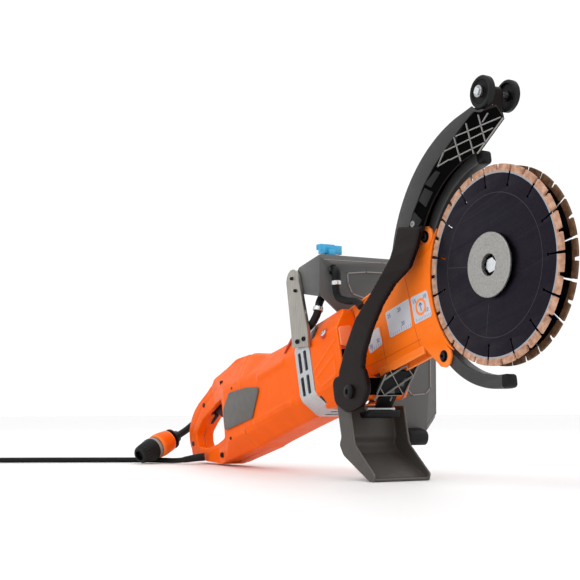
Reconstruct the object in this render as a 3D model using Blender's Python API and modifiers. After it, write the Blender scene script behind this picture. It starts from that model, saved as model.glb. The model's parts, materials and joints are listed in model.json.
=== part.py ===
"""Corded twin-blade concrete saw (cut-and-break power cutter), standing nose-up on its floor.

World frame: metres, +Z up, +X towards the blades, -Y is the side with the silver handle bracket.
Sizes below are in millimetres. Most parts are placed in the machine's own frame, whose origin
is the middle of the blade axis: "along" runs from the rear handle towards the blades, "side" is
the world Y, and "up" is square to both. The level frame stands upright on the floor below it.
"""

import math

import bmesh
import bpy
from mathutils import Vector

MM = 0.001

# Driving dimensions
BLADE_POS = (347.0, -52.0, 256.0)  # blade axis in the world, mm
NOSE_UP = math.radians(14.5)
BLADE_R = 115.0
CORE_R = 105.5
BLADE_T = 2.4
BLADE_Y = 10.0  # middle of each blade, either side of the centre plane
SLOTS = 15
PLATE_R = 118.5  # the arm's side plates end on this circle round the blades
HOOD_R = (125.0, 141.0)
HOOD_HALF = 8.3
HOOD_ARCS = {"blade_hood_upper": (85, 158), "blade_hood_lower": (206, 264)}
HORN_R = 135.0
HORN_ANGLES = (144.5, 213.5)
ARM_HALF = 8.4
PLATE_Y = (8.7, 12.4)
DRIVE_ALONG = -327.0
MOTOR_UP = -20.0
SPLIT_REAR = -577.0  # joint between motor housing and rear handle
BAND = (-398.5, -358.5)
BODY_HALF = 46.0
WALL = 3.0
GAP = 0.3
PIVOT = (-262.0, -78.5)  # swing guard pivot, along and up
WHEEL = (44.5, 195.2)
WHEEL_R = 19.0
GUARD_R = (133.0, 183.0)
CABLE_D = 9.0
HOSE_D = 12.0
COIL = (-1045.0, -394.0)
COIL_R = (36.0, 72.0)
COIL_H = 36.0
COUPLING_AT = (-820.4, -33.1, 44.9)
COUPLING_HEADING = (0.306, -0.889, -0.340)

ORANGE = ((0.86, 0.16, 0.02), 0.35, 0.0)
DARK_GREY = ((0.09, 0.09, 0.085), 0.6, 0.0)
WARM_GREY = ((0.13, 0.125, 0.11), 0.5, 0.0)
BLACK = ((0.015, 0.015, 0.016), 0.5, 0.0)
BLADE_BLACK = ((0.02, 0.018, 0.025), 0.4, 0.6)
STEEL = ((0.55, 0.54, 0.5), 0.35, 1.0)
CAST = ((0.6, 0.61, 0.62), 0.45, 1.0)
ZINC = ((0.7, 0.7, 0.68), 0.3, 1.0)
COPPER = ((0.7, 0.35, 0.2), 0.4, 1.0)
BLUE = ((0.0, 0.33, 0.75), 0.4, 0.0)
CARBON = ((0.04, 0.04, 0.045), 0.7, 0.0)


# ---------------------------------------------------------------- scene, materials, frames
def clear_scene():
    for obj in list(bpy.data.objects):
        bpy.data.objects.remove(obj, do_unlink=True)


def new_collection(name, hidden=False):
    collection = bpy.data.collections.new(name)
    bpy.context.scene.collection.children.link(collection)
    collection.hide_render = hidden
    return collection


def material(look):
    colour, roughness, metallic = look
    name = "finish_%02d_%02d_%02d" % tuple(round(99 * c) for c in colour)
    made = bpy.data.materials.get(name)
    if made is None:
        made = bpy.data.materials.new(name)
        made.use_nodes = True
        shader = made.node_tree.nodes["Principled BSDF"]
        shader.inputs["Base Color"].default_value = (*colour, 1.0)
        shader.inputs["Roughness"].default_value = roughness
        shader.inputs["Metallic"].default_value = metallic
    return made


def make_frame(name, parent=None, location=(0, 0, 0), turn_y=0.0):
    frame = bpy.data.objects.new(name, None)
    frame.location = Vector(location) * MM
    frame.rotation_euler = (0, turn_y, 0)
    frame.parent = parent
    PARTS.objects.link(frame)
    bpy.context.view_layer.update()
    return frame


def add(name, data, look, parent, location=(0, 0, 0), rotation=(0, 0, 0)):
    obj = bpy.data.objects.new(name, data)
    obj.location = Vector(location) * MM
    obj.rotation_euler = rotation
    obj.parent = parent
    if look is None:
        CUTTERS.objects.link(obj)
        obj.hide_render = True
        obj.display_type = "WIRE"
    else:
        PARTS.objects.link(obj)
        obj.data.materials.append(material(look))
    return obj


# ---------------------------------------------------------------- outlines
def polar(radius, degrees, centre=(0, 0)):
    angle = math.radians(degrees)
    return centre[0] + radius * math.cos(angle), centre[1] + radius * math.sin(angle)


def arc(radius, start, end, steps, centre=(0, 0)):
    return [polar(radius, start + (end - start) * i / steps, centre) for i in range(steps + 1)]


def circle(radius, steps=24, centre=(0, 0)):
    return arc(radius, 0, 360, steps, centre)[:-1]


def rounded(corners, steps=3):
    """A closed outline with each (x, y, radius) corner turned into an arc."""
    points = []
    count = len(corners)
    for i, (x, y, radius) in enumerate(corners):
        here = Vector((x, y))
        before = (Vector(corners[i - 1][:2]) - here)
        after = (Vector(corners[(i + 1) % count][:2]) - here)
        if radius <= 0:
            points.append((x, y))
            continue
        half = before.angle(after) / 2
        reach = min(radius / math.tan(half), before.length * 0.49, after.length * 0.49)
        radius = reach * math.tan(half)
        first = here + before.normalized() * reach
        last = here + after.normalized() * reach
        middle = here + (before.normalized() + after.normalized()).normalized() * (radius / math.sin(half))
        for k in range(steps + 1):
            spoke = (first - middle).lerp(last - middle, k / steps)
            points.append(tuple(middle + spoke.normalized() * radius))
    return points


def moved(points, distance):
    """The outline moved inwards by distance, for one that runs anticlockwise."""
    area = sum(a[0] * b[1] - b[0] * a[1] for a, b in zip(points, points[1:] + points[:1]))
    turn = 1 if area > 0 else -1
    out = []
    count = len(points)
    for i, point in enumerate(points):
        a = (Vector(point) - Vector(points[i - 1])).normalized()
        b = (Vector(points[(i + 1) % count]) - Vector(point)).normalized()
        normal_a = Vector((-a.y, a.x)) * turn
        normal_b = Vector((-b.y, b.x)) * turn
        bisector = (normal_a + normal_b).normalized()
        stretch = min(1.0 / max(bisector.dot(normal_a), 0.5), 2.0)
        out.append(tuple(Vector(point) + bisector * distance * stretch))
    return out


def hull_of_circles(c1, r1, c2, r2, steps=12):
    """The outline of a belt round two pulleys, c2 lying towards -x of c1."""
    gap = Vector(c2) - Vector(c1)
    heading = math.degrees(math.atan2(gap.y, gap.x))
    lean = math.degrees(math.acos((r1 - r2) / gap.length))
    return (arc(r1, heading + lean, heading + 360 - lean, steps, c1)
            + arc(r2, heading - lean, heading + lean, steps, c2))


# ---------------------------------------------------------------- solids
def outline_data(name, loops, half):
    curve = bpy.data.curves.new(name, "CURVE")
    curve.dimensions = "2D"
    curve.fill_mode = "BOTH"
    curve.extrude = half * MM
    for loop in loops:
        spline = curve.splines.new("POLY")
        spline.points.add(len(loop) - 1)
        for point, (x, y) in zip(spline.points, loop):
            point.co = (x * MM, y * MM, 0, 1)
        spline.use_cyclic_u = True
    return curve


def meshed(obj):
    """Turns a curve object into a mesh object of the same name, with its caps welded."""
    bpy.context.view_layer.update()
    graph = bpy.context.evaluated_depsgraph_get()
    mesh = bpy.data.meshes.new_from_object(obj.evaluated_get(graph))
    work = bmesh.new()
    work.from_mesh(mesh)
    bmesh.ops.remove_doubles(work, verts=work.verts, dist=1e-6)
    bmesh.ops.recalc_face_normals(work, faces=work.faces)
    work.to_mesh(mesh)
    work.free()
    name = obj.name
    matrix = obj.matrix_world.copy()
    parent = obj.parent
    collection = obj.users_collection[0]
    bpy.data.objects.remove(obj, do_unlink=True)
    solid = bpy.data.objects.new(name, mesh)
    collection.objects.link(solid)
    solid.parent = parent
    solid.matrix_world = matrix
    if collection == CUTTERS:
        solid.hide_render = True
        solid.display_type = "WIRE"
    return solid


def side_plate(name, loops, low, high, look, parent, origin=(0, 0)):
    """An outline in the along-up plane, from side = low to side = high. origin is the joint axis."""
    shifted = [[(x - origin[0], y - origin[1]) for x, y in loop] for loop in loops]
    data = outline_data(name, shifted, (high - low) / 2)
    place = (origin[0], (low + high) / 2, origin[1])
    return meshed(add(name, data, look, parent, place, (math.pi / 2, 0, 0)))


def end_plate(name, loops, low, high, look, parent):
    """An outline in the side-up plane, from along = low to along = high."""
    data = outline_data(name, [[(-x, y) for x, y in loop] for loop in loops], (high - low) / 2)
    place = ((low + high) / 2, 0, 0)
    return meshed(add(name, data, look, parent, place, (math.pi / 2, 0, -math.pi / 2)))


def top_plate(name, loops, low, high, look, parent, origin=(0, 0)):
    """An outline in the along-side plane, from up = low to up = high. origin is the joint axis."""
    shifted = [[(x - origin[0], y - origin[1]) for x, y in loop] for loop in loops]
    data = outline_data(name, shifted, (high - low) / 2)
    return meshed(add(name, data, look, parent, (*origin, (low + high) / 2)))


def turned(name, profile, look, parent, location, axis="Y", steps=24):
    """A turned piece: profile is (radius, height) down the outer side, and back up any bore."""
    mesh = bpy.data.meshes.new(name)
    points = [(r * MM, 0, h * MM) for r, h in profile]
    edges = [(i, i + 1) for i in range(len(points) - 1)]
    if profile[0][0] > 0:
        edges.append((len(points) - 1, 0))
    mesh.from_pydata(points, edges, [])
    rotation = {"X": (0, math.pi / 2, 0), "Y": (-math.pi / 2, 0, 0), "Z": (0, 0, 0)}[axis]
    obj = add(name, mesh, look, parent, location, rotation)
    screw = obj.modifiers.new("Turn", "SCREW")
    screw.steps = steps
    screw.render_steps = steps
    screw.use_merge_vertices = True
    screw.merge_threshold = 0.00001
    return obj


def tube(name, points, radius, look, parent, sides=2, smooth=0):
    """A round bar through the points, which lie on a smooth curve when smooth says how finely."""
    if smooth:
        points = smooth_path(points, smooth)
    curve = bpy.data.curves.new(name, "CURVE")
    curve.dimensions = "3D"
    curve.bevel_depth = radius * MM
    curve.bevel_resolution = sides
    curve.use_fill_caps = True
    spline = curve.splines.new("POLY")
    spline.points.add(len(points) - 1)
    for point, place in zip(spline.points, points):
        point.co = (*(Vector(place) * MM), 1)
    return add(name, curve, look, parent)


def smooth_path(points, per_span):
    """Points along a Catmull-Rom curve through the given ones."""
    knots = [Vector(p) for p in points]
    knots = [2 * knots[0] - knots[1]] + knots + [2 * knots[-1] - knots[-2]]
    path = []
    for a, b, c, d in zip(knots, knots[1:], knots[2:], knots[3:]):
        for k in range(per_span):
            t = k / per_span
            path.append(0.5 * (2 * b + (c - a) * t + (2 * a - 5 * b + 4 * c - d) * t * t
                               + (3 * b - a - 3 * c + d) * t ** 3))
    path.append(knots[-2])
    return path


def loft(name, rings, look, parent, wall=0.0):
    """A skin over rings of equally many points: a solid, or a shell open at both ends."""
    mesh = bpy.data.meshes.new(name)
    work = bmesh.new()
    rows = [[work.verts.new(Vector(p) * MM) for p in ring] for ring in rings]
    count = len(rings[0])
    for low, high in zip(rows, rows[1:]):
        for i in range(count):
            j = (i + 1) % count
            work.faces.new((low[i], low[j], high[j], high[i]))
    if not wall:
        work.faces.new(list(reversed(rows[0])))
        work.faces.new(rows[-1])
    bmesh.ops.recalc_face_normals(work, faces=work.faces)
    work.to_mesh(mesh)
    work.free()
    obj = add(name, mesh, look, parent)
    if wall:
        shell = obj.modifiers.new("Wall", "SOLIDIFY")
        shell.thickness = wall * MM
        shell.offset = -1
        shell.use_even_offset = True
    return obj


def boolean(obj, other, operation):
    modifier = obj.modifiers.new(operation.title(), "BOOLEAN")
    modifier.operation = operation
    modifier.solver = "EXACT"
    modifier.object = other
    return obj


def cut(obj, *cutters):
    for cutter in cutters:
        boolean(obj, cutter, "DIFFERENCE")
    return obj


def join(obj, *others):
    for other in others:
        boolean(obj, other, "UNION")
    return obj


def disc(radius, low, high):
    """Profile of a plain disc between two heights."""
    return [(0, high), (radius, high), (radius, low), (0, low)]


def ring(outer, inner, low, high):
    return [(outer, high), (outer, low), (inner, low), (inner, high)]


# ---------------------------------------------------------------- housings
def body_section(top, top_half, shoulder, bottom, half=BODY_HALF):
    """The body's eight-sided section, as (side, up)."""
    return rounded([(top_half, top, 6), (half, shoulder, 10), (half, bottom + 23, 10), (22, bottom, 8),
                    (-22, bottom, 8), (-half, bottom + 23, 10), (-half, shoulder, 10),
                    (-top_half, top, 6)], 1)


def motor_housing():
    stations = [(SPLIT_REAR + GAP, 67, 21, 24, -80), (-568, 67, 21, 24, -79.6), (-556, 64, 22, 22, -79),
                (-512, 49, 24, 19, -78), (-470, 46, 27, 17, -77), (BAND[0] - GAP, 45, 28, 17, -76.5)]
    rings = [[(along, side, up) for side, up in body_section(top, half, shoulder, bottom)]
             for along, top, half, shoulder, bottom in stations]
    return loft("motor_housing", rings, ORANGE, MACHINE, WALL)


def vent_band():
    outer = body_section(47, 29, 18, -77, BODY_HALF + 0.6)
    inner = moved(outer, 4.5)
    band = end_plate("vent_band", [outer, inner], BAND[0], BAND[1], CAST, MACHINE)
    slots = []
    for column in (-391, -376):
        for low, high in ((-18, 11), (-51, -24)):
            slots.append(side_plate("cut_band_slot", [rounded([
                (column, low, 2), (column + 8, low, 2), (column + 8, high, 2), (column, high, 2)])],
                -60, 60, None, MACHINE))
        slots.append(top_plate("cut_band_floor_slot", [rounded([
            (column, -17, 2), (column + 8, -17, 2), (column + 8, 17, 2), (column, 17, 2)])],
            -95, -70, None, MACHINE))
    return cut(band, *slots)


HANDLE_SIDE = [(-577, 68, 0), (-622, 74, 50), (-706, 62, 90), (-806, 37, 70), (-842, 2, 45),
               (-827, -44, 16), (-764, -62.5, 20), (-714, -77.5, 12), (-577, -80, 0)]
HANDLE_HOLE = [(-806, -27, 12), (-764, -40, 20), (-668, -43, 12), (-664, 20, 10), (-715, 23, 20),
               (-772, 13, 30), (-806, -4, 14)]
HANDLE_PLAN = [(-576, 46), (-634, 45), (-672, 31), (-722, 19), (-850, 15)]
HANDLE_SECTION = [(21, 80), (21, 68), (46, 24), (46, -57), (22, -80), (22, -90)]


def mirrored(half):
    return half + [(x, -y) for x, y in reversed(half)]


def handle_blank(tag, inset):
    """Side view, plan view and end view of the rear handle, each as a solid; inset hollows it."""
    side = moved(rounded(HANDLE_SIDE[::-1], 4), inset)
    if inset:
        side = [(x + (8 if x > -590 else 0), y) for x, y in side]
    hole = moved(rounded(HANDLE_HOLE, 3), -inset)
    plan = [(x, y - inset) for x, y in HANDLE_PLAN]
    section = [(x - inset, y - (math.copysign(inset, y) if abs(y) > 60 else 0)) for x, y in HANDLE_SECTION]
    section = section + [(-x, y) for x, y in reversed(section)]
    blank = side_plate("cut_handle_" + tag, [side, hole], -60, 60, None, MACHINE)
    boolean(blank, top_plate("cut_plan_" + tag, [mirrored(plan)], -120, 120, None, MACHINE), "INTERSECT")
    boolean(blank, end_plate("cut_end_" + tag, [section], -900, -500, None, MACHINE), "INTERSECT")
    return blank


def handle_shells():
    hollow = handle_blank("hollow", WALL)
    slot = side_plate("cut_trigger_slot", [[(-757, 4), (-668, 4), (-668, 30), (-757, 24)]],
                      -9.5, 9.5, None, MACHINE)
    for name, sign in (("handle_shell_right", -1), ("handle_shell_left", 1)):
        low, high = sorted((sign * 0.15, sign * 60))
        shell = side_plate(name, [[(-860, -110), (SPLIT_REAR, -110), (SPLIT_REAR, 110), (-860, 110)]],
                           low, high, ORANGE, MACHINE)
        boolean(shell, handle_blank(name, 0), "INTERSECT")
        cut(shell, hollow, slot)


def gear_housing():
    side = [(-358.2, -76.8, 0), (-250, -89, 10), (-252, -61, 8), (-284, -47, 12), (-286, 47, 10),
            (-358.2, 46, 0)]
    outer_end = [(-27, 60), (-27, 47), (-46, 17), (-46, -55), (-30, -80), (-30, -95), (60, -95), (60, 60)]
    for name, sign in (("gear_housing_right", -1), ("gear_housing_left", 1)):
        low, high = sorted((sign * 13, sign * 60))
        shell = side_plate(name, [rounded(side)], low, high, ORANGE, MACHINE)
        end = [(x * -sign, y) for x, y in outer_end]
        boolean(shell, end_plate("cut_end_" + name, [end], -400, -200, None, MACHINE), "INTERSECT")
        hollow = side_plate("cut_hollow_" + name, [moved(rounded(side), WALL)], low * 0.92, high * 0.92,
                            None, MACHINE)
        inner = [((x + WALL) * -sign, y - WALL * (1 if y > 0 else -1)) for x, y in outer_end[:6]]
        inner = inner + [(60 * -sign, -92), (60 * -sign, 57)]
        boolean(hollow, end_plate("cut_hollow_end_" + name, [inner], -400, -200, None, MACHINE),
                "INTERSECT")
        rear = side_plate("cut_rear_" + name, [[(-380, -71), (-350, -71), (-350, 38), (-380, 38)]],
                          *sorted((sign * 10, sign * 42)), None, MACHINE)
        cut(shell, hollow, rear)
        if sign < 0:
            cut(shell, turned("cut_pivot_hole", disc(6.5, -70, -12), None, MACHINE,
                              (PIVOT[0], 0, PIVOT[1]), "Y", 16),
                turned("cut_spring_pocket", disc(12.5, -70, -33), None, MACHINE,
                       (PIVOT[0], 0, PIVOT[1]), "Y", 16))


# ---------------------------------------------------------------- arm, belt, blades
def arm_frame():
    pulleys = ((0, 0), (DRIVE_ALONG, MOTOR_UP))
    outer = hull_of_circles(pulleys[0], 45, pulleys[1], 33)
    pocket = hull_of_circles(pulleys[0], 39, pulleys[1], 29.5)
    frame = side_plate("arm_frame", [outer], -ARM_HALF, ARM_HALF, STEEL, MACHINE)
    hollow = side_plate("cut_belt_pocket", [pocket], -ARM_HALF - 5, ARM_HALF - 2, None, MACHINE)
    holes = [turned("cut_shaft_hole", disc(radius, -20, 20), None, MACHINE, (along, 0, up), "Y", 16)
             for (along, up), radius in zip(pulleys, (13, 9))]
    cut(frame, hollow, *holes)


def belt_guards():
    """The orange side plates of the arm, with horns that carry the fixed hood."""
    edge = arc(PLATE_R, 137, 218, 12)
    horn_top = arc(14, 130, -50, 5, polar(HORN_R, HORN_ANGLES[0]))
    horn_low = arc(14, 50, -130, 5, polar(HORN_R, HORN_ANGLES[1]))
    outline = ([(-356, -52), (-297, -56), (-232, -55.2), (-149, -52)] + horn_low[::-1] + edge[::-1]
               + horn_top[::-1] + [(-152, 52.5), (-239, 51.5), (-328, 45), (-356, 30)])
    shaft = circle(9, 12, (DRIVE_ALONG, MOTOR_UP))
    side_plate("belt_guard_right", [outline, shaft], -PLATE_Y[1], -PLATE_Y[0], ORANGE, MACHINE)
    side_plate("belt_guard_left", [outline], PLATE_Y[0], PLATE_Y[1], ORANGE, MACHINE)


def belt_drive():
    turned("drive_pulley", ring(24, 7.3, -6, 6), STEEL, MACHINE, (DRIVE_ALONG, 0, MOTOR_UP))
    outer = hull_of_circles((0, 0), 36.5, (DRIVE_ALONG, MOTOR_UP), 28)
    inner = hull_of_circles((0, 0), 32.4, (DRIVE_ALONG, MOTOR_UP), 24.4)
    side_plate("drive_belt", [outer, inner], -5, 5, BLACK, MACHINE)
    turned("crown_gear", [(0, 8), (7, 8), (7, -13), (36, -13), (30, -19), (9, -19), (9, -30), (0, -30)],
           STEEL, MACHINE, (DRIVE_ALONG, 0, MOTOR_UP), steps=32)


def blade_outline():
    """Two castellated teeth to each sector, and a slot with a round end between sectors."""
    points = []
    sector = 360.0 / SLOTS
    for i in range(SLOTS):
        start = i * sector
        points += [polar(92, start - 0.5), polar(92, start + 0.5), polar(CORE_R, start + 0.6),
                   polar(BLADE_R, start + 1.4)]
        points += arc(BLADE_R, start + 6, start + 11.2, 1)
        points += [polar(CORE_R + 3, start + 11.4), polar(CORE_R + 3, start + 12.8)]
        points += [polar(BLADE_R, start + 13.2), polar(BLADE_R, start + 18), polar(BLADE_R, start + 22.6),
                   polar(CORE_R, start + sector - 0.6)]
    return points


def blades():
    turned("blade_hub", ring(11, 6.3, -11.2, 11.2), STEEL, BLADE_AXIS, (0, 0, 0))
    turned("blade_pulley", ring(32, 11.3, -6, 6), STEEL, BLADE_AXIS, (0, 0, 0))
    for name, flange, sign in (("blade_right", "flange_right", -1), ("blade_left", "flange_left", 1)):
        low, high = BLADE_Y - BLADE_T / 2, BLADE_Y + BLADE_T / 2
        side_plate(name, [blade_outline(), circle(11.3, 16)], *sorted((sign * low, sign * high)),
                   BLADE_BLACK, BLADE_AXIS)
        dish = [(6.3, high + GAP), (38, high + GAP), (38, high + 7.3), (15, high + 7.3), (15, high + 2.3),
                (6.3, high + 2.3)]
        turned(flange, [(radius, sign * side) for radius, side in dish][::-sign], ZINC, BLADE_AXIS, (0, 0, 0),
               steps=32)
    seat = BLADE_Y + BLADE_T / 2 + 2.3 + GAP
    bolt = side_plate("blade_bolt", [circle(10, 6)], -seat - 3.2, -seat, ZINC, BLADE_AXIS)
    join(bolt, turned("cut_blade_shank", disc(6, -seat - 2, seat + 7), None, BLADE_AXIS, (0, 0, 0)))
    side_plate("blade_nut", [circle(10, 6), circle(6.3, 16)], seat, seat + 5, ZINC, BLADE_AXIS)


def blade_hood():
    """Two arc-shaped bars behind the blades, bolted between the horns of the arm's plates."""
    low, high = HOOD_R
    for (name, (start, end)), bolt_angle in zip(HOOD_ARCS.items(), HORN_ANGLES):
        hood = side_plate(name, [arc(low, start, end, 12) + arc(high, end, start, 12)],
                          -HOOD_HALF, HOOD_HALF, DARK_GREY, MACHINE)
        groove = side_plate("cut_hood_groove", [arc(low - 5, start + 3, end - 3, 12)
                                                + arc(high - 4, end - 3, start + 3, 12)],
                            -HOOD_HALF + 2.8, HOOD_HALF - 2.8, None, MACHINE)
        shank = side_plate("cut_hood_bolt", [circle(3.4, 8, polar(HORN_R, bolt_angle))], -15, 15, None,
                           MACHINE)
        cut(hood, groove, shank)


# ---------------------------------------------------------------- swing guard
def ribbon(name, stations, half, look, parent):
    """A strap: each station gives its two edges as (along, up) and its middle's side."""
    rings = []
    for left, right, side in stations:
        rings.append([(left[0], -side - half, left[1]), (right[0], -side - half, right[1]),
                      (right[0], -side + half, right[1]), (left[0], -side + half, left[1])])
    return loft(name, rings, look, parent)


STRAP = [((-284, -66), (-236, -86), 50.4), ((-282.7, -46.2), (-233, -66), 50.4),
         ((-257.7, -18), (-221.8, -39.8), 50.4), ((-228.7, 8.1), (-198.8, -15.1), 50.4),
         ((-196, 29), (-172.7, 10.8), 46.4), ((-172, 49), (-149.8, 29.3), 40.4),
         ((-160, 66), (-124, 42), 32.4), ((-154, 87), (-112, 66.4), 24.4), ((-148, 106), (-103, 88), 20.4)]


def swing_guard():
    low, high = GUARD_R
    cheek = arc(high + 4, 156, 81, 14) + [(62, 170), (71, 148), (21, 129.5)] + arc(low, 82, 143, 12)
    web = arc(high + 4, 150, 83, 14) + arc(high, 83, 150, 14)
    far_cheek = arc(high + 4, 156, 81, 14) + [(30, 175.5), (-22, 156)] + arc(151, 100, 150, 10)
    neck = [(28, 168), (44, 168)] + arc(9, -20, 170, 6, WHEEL) + [(20, 188), (20, 181), (28, 178)]
    guard = side_plate("swing_guard", [cheek], -20.5, -17, DARK_GREY, MACHINE, PIVOT)
    pieces = [side_plate("cut_far_cheek", [far_cheek], 17, 20.5, None, MACHINE),
              side_plate("cut_guard_web", [web], -20.2, 20.2, None, MACHINE),
              side_plate("cut_guard_neck", [neck], -13.6, 5, None, MACHINE)]
    lobe = rounded([(-301, -50, 10), (-303, -84, 16), (-278, -103, 16), (-242, -103, 16), (-222, -86, 14),
                    (-226, -54, 10)])
    pieces.append(side_plate("cut_lobe", [lobe], -54, -46.8, None, MACHINE))
    pieces.append(ribbon("cut_strap", STRAP, 3.6, None, MACHINE))
    join(guard, *pieces)
    holes = [turned("cut_axle_hole", disc(4.3, -60, 60), None, MACHINE, (WHEEL[0], 0, WHEEL[1]), "Y", 12),
             turned("cut_pivot_hole", disc(6.5, -60, 60), None, MACHINE, (PIVOT[0], 0, PIVOT[1]), "Y", 16)]
    wheel_wells = [side_plate("cut_wheel_well", [circle(WHEEL_R + 1.5, 28, WHEEL)], low, high, None, MACHINE)
                   for low, high in ((-40, -14.0), (14.0, 40))]
    cut(guard, *holes, *wheel_wells)


def guard_wheels():
    for name, low, high in (("guard_wheel_right", -23.3, -14.5), ("guard_wheel_left", 14.5, 22.3)):
        turned(name, [(WHEEL_R - 1.5, high), (WHEEL_R, high - 1.5), (WHEEL_R, low + 1.5),
                      (WHEEL_R - 1.5, low), (4.3, low), (4.3, high)], BLACK, MACHINE,
               (WHEEL[0], 0, WHEEL[1]), steps=28)
    turned("wheel_axle", [(0, 25.2), (7, 25.2), (7, 22.6), (4, 22.6), (4, -23.6), (7, -23.6), (7, -26.2),
                          (0, -26.2)], ZINC, MACHINE, (WHEEL[0], 0, WHEEL[1]))


def guard_pivot():
    """Shoulder bolt through the strap into the gear housing, with the return spring on it."""
    turned("guard_pivot_bolt", [(0, -16), (6, -16), (6, -54.6), (9, -54.6), (9, -57), (0, -57)], BLACK,
           MACHINE, (PIVOT[0], 0, PIVOT[1]))
    turns, pitch, radius = 4, 2.6, 9.5
    points = []
    for i in range(turns * 10 + 1):
        x, y = polar(radius, 36 * i, PIVOT)
        points.append((x, -44.9 + pitch * i / 10, y))
    tube("guard_spring", points, 1.0, STEEL, MACHINE, 1)


# ---------------------------------------------------------------- stand, shield, handle
def scoop():
    """Grey spray deflector that also stands the saw up, on its front lip."""
    outer = rounded([(-281, 97, 0), (-270.6, 55, 8), (-275.5, 45, 6), (-265.6, 31, 8), (-205, 0, 3),
                     (-195, 0, 1), (-192, 9, 1), (-238, 47, 16), (-250, 97, 0)])
    hollow = rounded([(-278, 104, 0), (-267, 56, 8), (-271, 45, 6), (-261, 34, 8), (-201, 4, 1),
                      (-180, 4, 0), (-180, 104, 0)])
    body = side_plate("scoop", [outer], -45, 44, WARM_GREY, LEVEL)
    cut(body, side_plate("cut_scoop_hollow", [hollow], -42, 41, None, LEVEL))


def deflector():
    """Sloping ribbed panel from the scoop's pin up to the underside of the arm, with a raised far side."""
    pin = (-272.5, -99)
    slope = [(-268, -97.5), (-248.5, -83.5), (-219, -62), (-217, -57.5), (-223, -57.5), (-248.5, -77.5),
             (-270, -92.5)]
    wide = [(-248.5, -83.5), (-219, -62), (-217, -57.5), (-223, -57.5), (-248.5, -77.5)]
    wing = [(-248.5, -83.5), (-198, -46.5), (-194.6, -41), (-202, -41.5), (-248.5, -76)]
    body = side_plate("deflector", [slope], -12.6, 12.6, BLACK, MACHINE)
    join(body, side_plate("cut_wide_slope", [wide], -22, 22, None, MACHINE),
         side_plate("cut_wing", [wing], 12.9, 22, None, MACHINE),
         side_plate("cut_pin_boss", [circle(7.2, 16, pin)], -12.6, 12.6, None, MACHINE))
    cut(body, side_plate("cut_pin_seat", [circle(4.2, 12, pin)], -60, 60, None, MACHINE))
    turned("scoop_pin", disc(3.8, -26, 18), ZINC, MACHINE, (pin[0], 0, pin[1]), steps=12)


def front_shield():
    """Hand guard across the front handle: a broad plate with a flange back to the bracket."""
    shape = rounded([(-46.3, 304, 4), (150.5, 304, 10), (150.5, 82, 24), (128, 55, 14), (88, 55, 10),
                     (62, 74, 10), (54, 226, 14), (-10, 221, 8), (-46.3, 250, 8)])
    plate = end_plate("front_shield", [shape], -326, -322.5, WARM_GREY, LEVEL)
    flange = side_plate("cut_shield_flange", [rounded([(-382, 256, 6), (-369, 253, 6), (-324, 246, 0),
                                                       (-324, 303, 0), (-382, 290, 8)])],
                        -46.3, -43.3, None, LEVEL)
    join(plate, flange)
    hole = turned("cut_elbow_hole", disc(8, -360, -300), None, LEVEL, (0, -23, 283), "X", 16)
    cut(plate, hole)
    foot = side_plate("shield_foot", [rounded([(-322.2, 41, 2), (-303, 41, 9), (-299, 60, 9),
                                               (-322.2, 66, 2)])], 91, 121, BLACK, LEVEL)
    return foot


def front_handle():
    route = [(-384, -42.8, 268), (-383, 10, 268), (-377, 100, 268), (-370, 132, 262), (-365, 147, 236),
             (-364, 148, 120), (-364, 144, 96), (-364, 128, 82), (-364, 90, 79), (-364, 46.6, 79)]
    tube("front_handle", route, 13, BLACK, LEVEL, 2, 3)


def handle_bracket():
    """Bar that carries the front handle's upper end, bolted to the vent band."""
    bar = [(-387, 178), (-343, 178), (-345, 200)] + arc(17.5, 0, 180, 8, (-386.5, 271.5)) + [(-390, 200)]
    holes = [circle(2.2, 8, (-388, 276)), circle(2.2, 8, (-378, 258))]
    side_plate("handle_bracket", [bar] + holes, -52, -47, STEEL, LEVEL)


def tap():
    """Water tap behind the shield's corner: its lever turns on top, its elbow points forward."""
    centre = (-345, -16)
    turned("tap_body", [(0, 299), (9, 299), (9, 293), (12, 293), (12, 266), (9, 262), (0, 262)], BLACK,
           LEVEL, (*centre, 0), "Z")
    hub = circle(9.5, 16, centre)
    blade = rounded([(-352, 2, 4), (-353, -28, 4), (-345, -35, 4), (-338, -28, 4), (-338, 2, 4)])
    lever = top_plate("tap_lever", [hub], 306.5, 314, BLUE, LEVEL, centre)
    join(lever, top_plate("cut_lever_blade", [blade], 308, 320, None, LEVEL))
    elbow = [(-332.6, -21, 283), (-320, -24, 283), (-313, -26, 281), (-310, -27, 276), (-310, -27, 268)]
    tube("hose_elbow", elbow, 6.2, BLACK, LEVEL, 2, 2)
    arm_hose = [(-310, -27, 267), (-310.1, -27.4, 256), (-307, -25, 244), (-290, -22, 238), (-272, -19, 236),
                (-262, -18, 228)]
    tube("hose_to_arm", arm_hose, 5, BLACK, LEVEL, 2, 3)
    feed_hose = [(-346, -22, 261.4), (-346, -24, 254), (-342, -34, 240), (-340.5, -38, 226),
                 (-346, -41, 214), (-355.5, -41, 208), (-364.5, -40.5, 205)]
    tube("hose_to_tap", feed_hose, 5.5, BLACK, LEVEL, 2, 3)


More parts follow.
